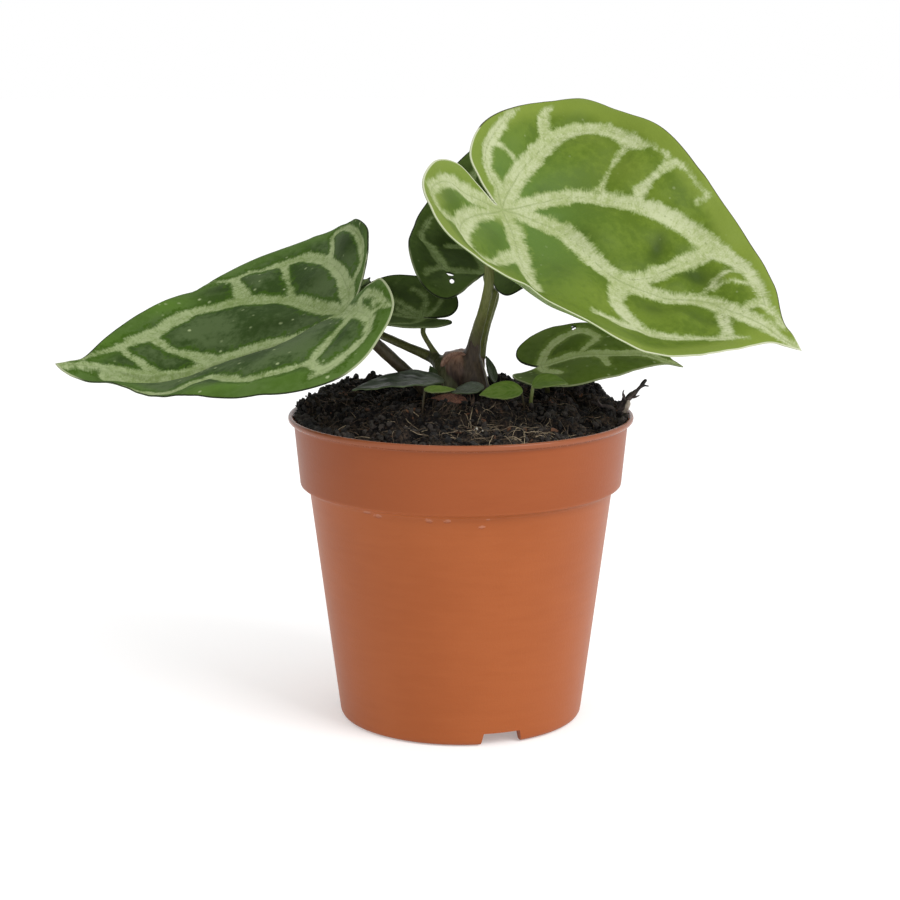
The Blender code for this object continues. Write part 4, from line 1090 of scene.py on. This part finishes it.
def crown_finish():
    """The swollen base: pinkish brown skin, olive and dark where petioles leave it, black below."""
    finish = Finish("crown_skin", roughness=0.5, specular_ior_level=0.3)
    height = finish.parts()[2] * 1000
    streaks = finish.streaks(900, 200)
    mottle = finish.noise(260, 3)
    low = finish.shades(streaks, (0.012, 0.009, 0.008), (0.032, 0.023, 0.018))
    high = finish.shades(streaks, (0.085, 0.042, 0.026), (0.190, 0.110, 0.075))
    skin = finish.blend((height + (mottle - 0.5) * 8).rise(117, 130), low, high)
    crest = (height + (mottle - 0.5) * 4).rise(125.5, 129.5)
    skin = finish.blend(crest * 0.75, skin, (0.330, 0.185, 0.130))
    dark = finish.shades(streaks, (0.026, 0.016, 0.010), (0.060, 0.040, 0.024))
    olive = finish.shades(streaks, (0.042, 0.046, 0.018), (0.085, 0.085, 0.038))
    rough = (mottle - 0.5) * 0.5 + (streaks - 0.5) * 0.4
    skin = finish.blend((finish.attribute("dark") + rough).rise(0.25, 0.9), skin, dark)
    skin = finish.blend((finish.attribute("olive") + rough).rise(0.25, 0.8), skin, olive)
    finish.feed("Base Color", skin)
    finish.relief(streaks * 0.7 + mottle * 0.5, 0.0005)
    return finish


def papery_finish(name, thin, thick):
    """Thin dry skin with lengthwise fibres."""
    finish = Finish(name, roughness=0.55, specular_ior_level=0.3)
    streaks = finish.streaks(1800, 400)
    finish.feed("Base Color", finish.shades(streaks, thin, thick))
    finish.relief(streaks, 0.0003)
    return finish


def soil_finish():
    """Nearly black peat with brown fibre colour in places."""
    finish = Finish("peat", roughness=0.95, specular_ior_level=0.15)
    lumps = finish.noise(130, 4, 0.65)
    grain = finish.noise(900, 4, 0.7)
    threads = finish.noise(420, 3, 0.7, 1.5)
    dark = finish.shades(lumps, (0.0035, 0.0030, 0.0038), (0.012, 0.010, 0.010))
    brown = finish.blend((grain + (lumps - 0.5) * 0.8).rise(0.45, 0.75), dark, (0.070, 0.049, 0.036))
    threaded = (threads + (grain - 0.5) * 0.5).rise(0.6, 0.72) * 0.6
    finish.feed("Base Color", finish.blend(threaded, brown, (0.080, 0.052, 0.034)))
    finish.relief(grain * 0.8 + lumps, 0.0016)
    return finish


def bits_finish(name, first, second):
    """A dull finish for small dry things, which changes from one to the next."""
    finish = Finish(name, roughness=0.9)
    wide = finish.noise(90, 2)
    grain = finish.noise(700, 3, 0.6)
    finish.feed("Base Color", finish.blend((wide * 0.6 + grain * 0.4).rise(0.38, 0.62), first, second))
    finish.relief(grain, 0.0004)
    return finish


def pot_finish():
    """Satin moulded plastic of a terracotta colour, with faint flow marks and a few scuffs."""
    finish = Finish("terracotta_plastic", roughness=0.42, specular_ior_level=0.2)
    x, y, z = (part * 1000 for part in finish.parts())
    cloud = finish.noise(22, 3)
    flow = finish.streaks(60, 420)
    grain = finish.noise(1400, 2)
    rough = finish.noise(700, 3, 0.7)
    colour = finish.blend((cloud * 0.7 + flow * 0.3).rise(0.35, 0.65), POT_COLOUR, POT_COLOUR_LIGHT)
    band = z.rise(BAND_FOOT - 1.5, BAND_FOOT + 0.5)
    colour = finish.blend(band * 0.4, colour, POT_COLOUR_BAND)
    lip = z.rise(POT_HEIGHT - 3.2, POT_HEIGHT - 2.2)
    colour = finish.blend(lip * 0.5, colour, POT_COLOUR_LIP)
    front = 1 - y.rise(-40, -30)
    for across, high, wide, tall in SCUFFS:
        side, up = (x - across) / wide, (z - high) / tall
        apart = side * side + up * up + (rough - 0.5) * 4.5 + (grain - 0.5) * 1.5
        colour = finish.blend((1 - apart.rise(0.3, 1.2)) * front * 0.6, colour, SCUFF_PALE)
        apart = side * side + (up + 0.9) * (up + 0.9) * 2.0 + (rough - 0.5) * 2.0
        colour = finish.blend((1 - apart.rise(0.4, 0.9)) * front * 0.5, colour, SCUFF_DARK)
    finish.feed("Base Color", colour)
    finish.feed("Roughness", (cloud - 0.5) * 0.1 + (grain - 0.5) * 0.08 + 0.42 - lip * 0.17)
    finish.relief(grain * 0.3 + flow * 0.6, 0.00012)
    return finish


def turned(name, rows, sides):
    """A lathed closed shape: a ring of vertices extruded from each radius and height to the next."""
    clear_choice()
    radius, height = rows[0]
    bpy.ops.mesh.primitive_circle_add(vertices=sides, radius=radius * MM, location=(0, 0, height * MM))
    made = bpy.context.object
    made.name = name
    bpy.ops.object.transform_apply(location=True, rotation=False, scale=False)
    bpy.ops.object.mode_set(mode="EDIT")
    bpy.ops.mesh.select_mode(type="EDGE")
    bpy.ops.mesh.select_all(action="SELECT")
    for wide, high in rows[1:]:
        bpy.ops.mesh.extrude_region_move(TRANSFORM_OT_translate={"value": (0, 0, (high - height) * MM)})
        scale = wide / radius
        bpy.ops.transform.resize(value=(scale, scale, 1), center_override=(0, 0, high * MM))
        radius, height = wide, high
    bpy.ops.mesh.select_all(action="SELECT")
    bpy.ops.mesh.remove_doubles(threshold=0.00001)
    bpy.ops.mesh.normals_make_consistent(inside=False)
    bpy.ops.object.mode_set(mode="OBJECT")
    return made


def make_pot():
    """The nursery pot: thin lip, banded rim, tapered wall, notched foot ring and drain holes."""
    top, under = POT_HEIGHT, POT_HEIGHT - 2.2
    ledge = BAND_FOOT - 2.0
    foot = BASE_RADIUS - FOOT_WIDTH
    inner_ledge = ledge - 1.0 + WALL
    lip = ((-0.75, 0), (-0.35, -0.1), (-0.1, -0.4), (0, -0.9))
    rows = [(LIP_RADIUS + out, top + up) for out, up in lip]
    rows += [(LIP_RADIUS - 0.1, under + 0.7), (LIP_RADIUS - 0.4, under + 0.35)]
    rows += [(BAND_TOP_RADIUS + out, under + up) for out, up in ((0.6, 0.1), (0.15, -0.2), (0, -0.8))]
    band = ((0.06, 0.8), (0, 0), (-0.15, -0.6), (-0.6, -1.0))
    rows += [(BAND_FOOT_RADIUS + out, BAND_FOOT + up) for out, up in band]
    rows += [(BODY_TOP_RADIUS + out, ledge + up) for out, up in ((1.2, 0.5), (0.4, 0), (0, -1.0))]
    base = ((0.35, 2.4), (0.15, 1.2), (-0.3, 0.4), (-1.2, 0))
    rows += [(BASE_RADIUS + out, height) for out, height in base]
    rows += [(foot + 0.3, 0.0), (foot, 0.3), (foot - 0.4, FLOOR_LIFT - 0.4), (foot - 0.8, FLOOR_LIFT)]
    rows += [(CENTRE_FOOT + 0.6, FLOOR_LIFT), (CENTRE_FOOT + 0.1, FLOOR_LIFT - 0.4)]
    rows += [(CENTRE_FOOT, 0.3), (CENTRE_FOOT - 0.3, 0.0), (0.001, 0.0)]
    inside = [
        (0.001, FLOOR_LIFT + WALL), (BASE_RADIUS - WALL - 0.2, FLOOR_LIFT + WALL),
        (BODY_TOP_RADIUS - WALL, inner_ledge), (BAND_FOOT_RADIUS - WALL - 0.4, inner_ledge + 2.6),
        (BAND_TOP_RADIUS - WALL, under), (LIP_RADIUS - 1.9, top - 0.9), (LIP_RADIUS - 1.35, top - 0.15),
        (LIP_RADIUS - 1.05, top),
    ]
    pot = turned("moulded_pot", rows + inside + rows[:1], POT_SIDES)
    cutters = [notch(math.radians(FIRST_NOTCH + number * 120)) for number in range(3)]
    for number in range(6):
        angle = math.radians(FIRST_NOTCH + (number + 0.5) * 60)
        x, y = DRAIN_CIRCLE * MM * math.cos(angle), DRAIN_CIRCLE * MM * math.sin(angle)
        clear_choice()
        bpy.ops.mesh.primitive_cylinder_add(
            vertices=32, radius=DRAIN_RADIUS * MM, depth=6 * WALL * MM, location=(x, y, FLOOR_LIFT * MM))
        cutters.append(bpy.context.object)
    cut(pot, cutters)
    pot.data.materials.clear()
    dress(pot, [pot_finish()], smooth=False)
    choose(pot)
    bpy.ops.object.shade_smooth_by_angle(angle=math.radians(38))
    settle(pot, ["pot"])


def notch(angle):
    """A slot through the foot ring with leaning sides, wider at the bottom."""
    clear_choice()
    bpy.ops.mesh.primitive_cube_add(size=1)
    cutter = bpy.context.object
    for vertex in cutter.data.vertices:
        x, y, z = vertex.co
        wide = NOTCH_WIDTH if z < 0 else NOTCH_WIDTH - 2.5
        height = NOTCH_HEIGHT if z > 0 else -2.0
        vertex.co = Vector((x * 3 * FOOT_WIDTH + BASE_RADIUS - FOOT_WIDTH / 2, y * wide, height)) * MM
    cutter.rotation_euler.z = angle
    bpy.ops.object.transform_apply(location=False, rotation=True, scale=False)
    return cutter


def cut(thing, cutters):
    """Takes the cutters out of an object and removes them."""
    group = bpy.data.collections.new("cutters")
    bpy.context.scene.collection.children.link(group)
    for cutter in cutters:
        for owner in list(cutter.users_collection):
            owner.objects.unlink(cutter)
        group.objects.link(cutter)
    choose(thing)
    boolean = thing.modifiers.new("cut", "BOOLEAN")
    boolean.operation = "DIFFERENCE"
    boolean.operand_type = "COLLECTION"
    boolean.collection = group
    boolean.solver = "EXACT"
    bpy.ops.object.modifier_apply(modifier=boolean.name)
    for cutter in cutters:
        bpy.data.objects.remove(cutter, do_unlink=True)
    bpy.data.collections.remove(group)


def heaped(heaps, x, y):
    """How high a few rounded heaps stand at a place."""
    return sum(high * math.exp(-math.dist((x, y), (a, b)) ** 2 / reach**2) for a, b, reach, high in heaps)


def soil_height(x, y):
    """The soil's height as the solid has it: a low dome, higher behind, with lumps and heaps."""
    radius = math.hypot(x, y)
    place = Vector((x, y, 0))
    lumps = noise.noise(place / 9.0) + 0.6 * noise.noise(place / 4.5 + Vector((7, 3, 1)))
    dome = SOIL_DOME * (1 - (radius / BAND_FOOT_RADIUS) ** 2)
    back = SOIL_BACK_RISE * y / BAND_FOOT_RADIUS
    return SOIL_EDGE + dome + heaped(SOIL_HEAPS, x, y) + back + SOIL_LUMP * lumps


def clod_rows():
    """Each clod's x, y, size and height."""
    rng = random.Random(21)
    for number in range(CLODS):
        reach, turn = PEAT_EDGE * math.sqrt(rng.random()), rng.random() * 2 * math.pi
        size = 2.2 + 4.2 * rng.random() ** 1.5
        yield reach * math.cos(turn), reach * math.sin(turn), size, size * (0.3 + 0.35 * rng.random())


clod_x, clod_y, clod_size, clod_high = np.array(list(clod_rows())).T


def clod_height(x, y):
    """How far the biggest clod over a place stands up there."""
    wobble = 1 + 0.35 * noise.noise(Vector((x, y, 4)) / 2.2)
    share = 1 - ((clod_x - x) ** 2 + (clod_y - y) ** 2) / (clod_size * wobble) ** 2
    return float((clod_high * np.sqrt(share.clip(0, 1))).max())


def peat_height(x, y):
    """The soil's height with its heaps, clods and crumbs on it."""
    place = Vector((x, y, 0))
    crumbs = abs(noise.noise(place / 2.3 + Vector((1, 2, 8)))) * 1.5 + 0.7 * noise.noise(place / 1.1)
    return soil_height(x, y) + clod_height(x, y) + crumbs + heaped(PEAT_HEAPS, x, y) - 1.2


def make_soil(peat):
    """The peat's uneven top, and its body down inside the pot."""
    turns = [2 * math.pi * k / PEAT_AROUND for k in range(PEAT_AROUND)]
    places = [(0, 0, peat_height(0, 0))]
    for ring in range(1, PEAT_RINGS + 1):
        radius = PEAT_EDGE * (ring / PEAT_RINGS) ** 0.85
        fall = max(0, ring / PEAT_RINGS - 0.975) / 0.025
        for turn in turns:
            x, y = radius * math.cos(turn), radius * math.sin(turn)
            places.append((x, y, peat_height(x, y) - 1.5 * fall))
    for radius, height in PEAT_SIDE:
        places += [(radius * math.cos(turn), radius * math.sin(turn), height) for turn in turns]
    places.append((0, 0, PEAT_SIDE[-1][1]))
    last = 1 + (PEAT_RINGS + 2) * PEAT_AROUND
    faces = fan(0, 1, PEAT_AROUND) + bands(1, PEAT_RINGS + 2, PEAT_AROUND)
    faces += [face[::-1] for face in fan(len(places) - 1, last, PEAT_AROUND)]
    add_piece("peat_bed", to_mesh("peat_bed", places, faces), [peat], ["soil"])


def scatter(rng, spread=0.93):
    """A place on the soil, thinly spread towards its middle."""
    radius = (BAND_TOP_RADIUS - WALL) * spread * math.sqrt(rng.random())
    angle = rng.random() * 2 * math.pi
    return radius * math.cos(angle), radius * math.sin(angle)


def crumb(rng, x, y, z, size, squash=0.7):
    """The corners and faces of one rough grain."""
    shape = bmesh.new()
    bmesh.ops.create_icosphere(shape, subdivisions=1, radius=1)
    angle, axis = rng.random() * 6.28, Vector((rng.random(), rng.random(), rng.random() + 0.1))
    turn = Matrix.Rotation(angle, 3, axis.normalized())
    stretch = Vector((0.7 + rng.random() * 0.8, 0.7 + rng.random() * 0.6, squash))
    places = []
    for vertex in shape.verts:
        co = vertex.co * (0.75 + 0.5 * rng.random())
        co = turn @ Vector((co.x * stretch.x, co.y * stretch.y, co.z * stretch.z))
        places.append((x + co.x * size, y + co.y * size, z + co.z * size))
    faces = [tuple(v.index for v in face.verts) for face in shape.faces]
    shape.free()
    return places, faces


def gather(name, lots, finish, smooth=True):
    """One piece of many small ones given as places and faces."""
    places, faces = [], []
    for some, sides in lots:
        start = len(places)
        places.extend(some)
        faces.extend(tuple(start + i for i in side) for side in sides)
    add_piece(name, to_mesh(name, places, faces), [finish], smooth=smooth)


def strand(rows, thick, sides=3):
    """The corners and faces of a fibre along its rows."""
    rows = np.array(rows, float)
    ahead = np.gradient(rows, axis=0)
    ahead /= np.linalg.norm(ahead, axis=1)[:, None] + 1e-9
    side = np.cross(ahead, (0.31, 0.17, 0.93))
    side /= np.linalg.norm(side, axis=1)[:, None] + 1e-9
    up = np.cross(side, ahead)
    places = []
    for k, row in enumerate(rows):
        share = thick * (1 - 0.7 * k / len(rows))
        for j in range(sides):
            angle = 2 * math.pi * j / sides
            places.append(tuple(row + (side[k] * math.cos(angle) + up[k] * math.sin(angle)) * share))
    ends = [tuple(range(sides))[::-1], tuple(range((len(rows) - 1) * sides, len(rows) * sides))]
    return places, bands(0, len(rows) - 1, sides, outward=True) + ends


def fibre(rng, length, thick, lift, start=None):
    """A bent fibre lying on the soil, part of it lifted off."""
    x, y = start or scatter(rng)
    if math.hypot(x, y) > PEAT_EDGE - 2:
        return None
    heading, turn = rng.random() * 6.28, (rng.random() - 0.5) * 0.25
    rows = []
    for k in range(7):
        rows.append((x, y, peat_height(x, y) + 0.1))
        heading += turn + (rng.random() - 0.5) * 0.25
        x += math.cos(heading) * length / 6
        y += math.sin(heading) * length / 6
        if math.hypot(x, y) > BAND_TOP_RADIUS - WALL - 1.5:
            break
    if len(rows) < 3:
        return None
    rows = np.array(rows)
    along = np.linspace(0, 1, len(rows))
    level = rows[0, 2] * (1 - along) + rows[-1, 2] * along
    rows[:, 2] = rows[:, 2] * 0.3 + level * 0.7 + 0.15 + np.sin(math.pi * along) * lift
    return strand(rows, thick)


def make_crumbs(rng):
    """Crumbs all over the peat and thicker at the rim, bark bits and white grains."""
    lots = []
    for number in range(CRUMBS):
        x, y = scatter(rng, 0.985)
        size = 0.35 + 1.1 * rng.random() ** 2.5
        lots.append(crumb(rng, x, y, peat_height(x, y) + size * 0.35, size))
    for number in range(RIM_CRUMBS):
        turn = math.radians(120 + 110 * rng.random() if number % 3 else 85 * rng.random() - 15)
        reach = PEAT_EDGE + 0.6 - 5 * rng.random() ** 2
        x, y, size = reach * math.cos(turn), reach * math.sin(turn), 0.4 + 1.3 * rng.random() ** 2
        lots.append(crumb(rng, x, y, max(peat_height(x, y), POT_HEIGHT - 1.5) + size * 0.5, size))
    dark = bits_finish("peat_crumbs", (0.004, 0.0035, 0.004), (0.040, 0.031, 0.026))
    gather("peat_crumbs", lots, dark, smooth=False)
    lots = []
    for number in range(BARK_BITS):
        x, y = scatter(rng, 0.96)
        size = 0.3 + 0.9 * rng.random() ** 2
        lots.append(crumb(rng, x, y, peat_height(x, y) + 0.2, size, 0.35))
    brown = bits_finish("bark_bits", (0.045, 0.022, 0.012), (0.150, 0.065, 0.032))
    gather("bark_bits", lots, brown, smooth=False)
    lots = [crumb(rng, x, y, peat_height(x, y) + size, size, 0.5) for x, y, size in WHITE_GRAINS]
    white = bits_finish("white_grains", (0.50, 0.48, 0.45), (0.72, 0.70, 0.66))
    gather("white_grains", lots, white, smooth=False)


def make_fibres(rng):
    """Brown fibres all over the peat, straw mostly at the front, and rootlets below the crown."""
    lots = []
    for number in range(PLANT_FIBRES):
        length, thick = 3 + 7 * rng.random(), 0.06 + 0.10 * rng.random()
        lots.append(fibre(rng, length, thick, 0.3 + 1.2 * rng.random() ** 2))
    dull = bits_finish("plant_fibre", (0.030, 0.020, 0.013), (0.160, 0.105, 0.065))
    gather("plant_fibres", filter(None, lots), dull)
    lots = []
    for number in range(STRAW_FIBRES):
        start = (rng.gauss(12, 18), rng.gauss(-38, 8)) if number % 5 else None
        length, thick = 3 + 7 * rng.random(), 0.07 + 0.13 * rng.random()
        lots.append(fibre(rng, length, thick, 0.2 + 1.0 * rng.random() ** 2, start))
    straw = bits_finish("straw_fibre", (0.095, 0.065, 0.040), (0.460, 0.360, 0.240))
    gather("straw_fibres", filter(None, lots), straw)
    lots = []
    for number in range(ROOTLETS):
        angle = rng.random() * 6.28
        x, y = 3 + 7.5 * math.cos(angle), -2 + 7.5 * math.sin(angle)
        rows = []
        for k in range(9):
            rows.append((x, y, max(peat_height(x, y) + 0.3, 116 - 2.2 * k)))
            x += (1.4 + rng.random()) * math.cos(angle) + (rng.random() - 0.5) * 1.2
            y += (1.4 + rng.random()) * math.sin(angle) + (rng.random() - 0.5) * 1.2
        lots.append(strand(rows, 0.22 + 0.25 * rng.random(), 4))
    rootlets = bits_finish("rootlets", (0.060, 0.036, 0.026), (0.160, 0.105, 0.075))
    gather("rootlets", lots, rootlets)


def petiole_rows(leaf, rows):
    """A petiole's rows on to the underside of its blade, with the swollen joint just below it."""
    outward = facing(leaf)
    seat = np.array(leaf["junction"]) - outward * (BLADE / 2 + 0.35)
    radius = rows[-1][3]
    joint = ((4, 1.05), (1.2, 1.18), (0, 0.95))
    every = [*rows, *((*(seat - outward * back * radius), radius * wide) for back, wide in joint)]
    return through(every, (len(every) - 1) * 7 + 1)


def make_leaves(petiole):
    """The six grown leaves, each a blade and its petiole."""
    tables = dict(puffs=PUFFS, holes=HOLES, painted_shade=PAINTED_SHADE, yellow_and_painted_light=YELLOW_AND_PAINTED_LIGHT, pale=PALE_RIMS)
    for name, leaf in LEAVES.items():
        leaf["outline"] = HEART
        own = {key: table.get(name, ()) for key, table in tables.items()}
        own["sag"] = SAG.get(name, 0)
        mesh = blade_mesh("leaf_" + name, leaf, FINENESS[name], VEINS[name], own, 0.006 * leaf["length"])
        upper, under, slot = LEAF_FINISHES[name]
        add_piece("leaf_" + name, mesh, [finishes[upper], finishes[under]], ["blade_" + name])
        rows = petiole_rows(leaf, STALKS[name])
        shape = dict(face=(0.2, 0.9, 0.3), ribs=0.08, seed=len(name), brown=BROWN[name], tip=0.1)
        stem = rod_mesh("petiole_" + name, rows, 20, **shape)
        add_piece("petiole_" + name, stem, [petiole], ["stalk_" + name])


def make_young(petiole):
    """The young leaves round the crown and the reddish bract, each with its short stem."""
    red = papery_finish("reddish_bract", (0.075, 0.032, 0.024), (0.260, 0.120, 0.082))
    for name, values in YOUNG.items():
        leaf = dict(values, outline=EGG, lobe=1, gap=0, sweep=(0, 0, 0, 0))
        leaf["curl_left"] = leaf["curl_right"] = (values["curl"],) * 4
        mesh = blade_mesh("small_" + name, leaf, (44, 14), EGG_VEINS, {}, 0.02 * leaf["length"])
        bract = name == "bract_front"
        look = YOUNG_FINISHES.get(name)
        under = "under_bright" if look == "small_bright" else "under_dark"
        blade = loose("small_" + name, mesh, [red, red] if bract else [finishes[look], finishes[under]])
        green = name == "young_leaf_front_right"
        rows = np.array([*values["foot"], (*values["junction"], values["foot"][-1][3] * 0.8)], float)
        rows[:, 3] *= 0.85 if green else 0.5
        brown = (0, 0, 0, 1) if green else (1.6, 1.6, 0, 1)
        mesh = rod_mesh("stem_" + name, through(rows, 15), 10, ribs=0.1, brown=brown)
        stem = loose("stem_" + name, mesh, [red if bract else petiole])
        joined = join("small_" + name.replace("_front", "_fore"), [blade, stem])
        settle(joined, [name])


def make_crown():
    """The crown's skin, grown over its solid and the feet of the petioles."""
    mesh = nodes["crown"].data.copy()
    shape = bmesh.new()
    shape.from_mesh(mesh)
    bmesh.ops.remove_doubles(shape, verts=shape.verts, dist=0.00001)
    shape.to_mesh(mesh)
    shape.free()
    skin = crown_finish()
    pieces = [loose("crown_skin", mesh, [skin])]
    for name, rows in CROWN_FEET.items():
        foot = rod_mesh("foot_" + name, through(rows, 6 * len(rows)), 24)
        pieces.append(loose("foot_" + name, foot, [skin]))
    crown = join("crown_skin", pieces)
    choose(crown)
    remesh = crown.modifiers.new("even", "REMESH")
    remesh.mode = "VOXEL"
    remesh.voxel_size = CROWN_GRAIN * MM
    bpy.ops.object.modifier_apply(modifier=remesh.name)
    smooth = crown.modifiers.new("smooth", "SMOOTH")
    smooth.iterations = SMOOTHINGS
    smooth.factor = SMOOTH_SHARE
    bpy.ops.object.modifier_apply(modifier=smooth.name)
    for vertex, normal in zip(crown.data.vertices, [v.normal.copy() for v in crown.data.vertices]):
        x, y, z = vertex.co / MM
        ridges = noise.noise(Vector((x * 0.5, y * 0.5, z * 0.12))) * 0.4
        vertex.co += normal * (ridges + noise.noise(Vector((x, y, z * 0.3))) * 0.15) * MM
    places = np.array([vertex.co for vertex in crown.data.vertices]) / MM
    for key in ("dark", "olive"):
        line = through(CROWN_FEET[key], 30)
        apart = np.linalg.norm(places[:, None] - line[:, :3], axis=2) - line[:, 3]
        keep(crown.data, key, np.clip(1 - apart.min(1) / 1.6, 0, 1))
    dress(crown, [skin])
    settle(crown, ["crown"])


def make_sheaths():
    """The thin papery sheaths on the crown."""
    sheath = papery_finish("sheath", (0.170, 0.092, 0.062), (0.320, 0.195, 0.145))
    pale = papery_finish("pale_sheath", (0.230, 0.220, 0.120), (0.430, 0.410, 0.280))
    for name, (face, rows) in SHEATHS.items():
        mesh = rod_mesh(name, through(rows, 33), 12, flat=0.2, face=face, ribs=0.3, seed=2)
        add_piece(name, mesh, [sheath if name == "sheath_over_crown" else pale])


def make_twig():
    """The dry root at the rim, knobbly and split, with short side spurs."""
    bark = bits_finish("dry_root", (0.014, 0.011, 0.011), (0.085, 0.064, 0.058))
    split = bits_finish("split_wood", (0.20, 0.15, 0.11), (0.42, 0.36, 0.30))
    pieces = [loose("dry_root", rod_mesh("dry_root", through(TWIG, 51), 14, ribs=0.9, seed=5), [bark])]
    for number, spur in enumerate(SPURS):
        pieces.append(loose("spur", rod_mesh("spur", through(spur, 25), 8, ribs=0.9, seed=number), [bark]))
    mesh = rod_mesh("patch", through(SPLIT, 15), 9, flat=0.4, face=(0, 1, 0), ribs=0.8, seed=3)
    pieces.append(loose("patch", mesh, [split]))
    settle(join("dry_root", pieces), ["root_at_rim"])


def make_studio():
    """A pale floor, soft light from all round, a broad key at the front right, and the camera."""
    clear_choice()
    bpy.ops.mesh.primitive_plane_add(size=8, location=(0, 1.5, -0.0003))
    floor = bpy.context.object
    floor.name = "floor"
    finish = Finish("pale_floor", roughness=0.9, specular_ior_level=0.0, emission_strength=0.3)
    tone = finish.noise(2, 2)
    finish.feed("Base Color", finish.blend(tone, (0.74, 0.74, 0.74), (0.76, 0.76, 0.76)))
    finish.feed("Emission Color", finish.blend(tone, (0.98, 0.98, 0.98), (1.0, 1.0, 1.0)))
    floor.data.materials.append(finish.material)
    world = bpy.data.worlds.new("studio")
    world.use_nodes = True
    light = world.node_tree.nodes["Background"].inputs
    light["Color"].default_value = (1, 1, 1, 1)
    light["Strength"].default_value = 1.0
    bpy.context.scene.world = world
    bpy.context.scene.view_settings.view_transform = "Standard"
    for name, (place, size, power) in LAMPS.items():
        lamp = bpy.data.lights.new(name, "AREA")
        lamp.size = size
        lamp.energy = power
        made = bpy.data.objects.new(name, lamp)
        made.location = place
        made.rotation_euler = (Vector(LAMP_AIM) - Vector(place)).to_track_quat("-Z", "Y").to_euler()
        bpy.context.scene.collection.objects.link(made)
    lens = bpy.data.cameras.new("camera")
    lens.sensor_width = 36
    lens.lens = LENS
    camera = bpy.data.objects.new("camera", lens)
    camera.location = CAMERA_PLACE
    camera.rotation_euler = (math.radians(90 + CAMERA_PITCH), 0, 0)
    bpy.context.scene.collection.objects.link(camera)
    bpy.context.scene.camera = camera


make_studio()
make_pot()
make_soil(soil_finish())
litter_chance = random.Random(4)
make_crumbs(litter_chance)
make_fibres(litter_chance)
stem_skin = petiole_finish()
make_leaves(stem_skin)
make_young(stem_skin)
make_crown()
make_sheaths()
make_twig()
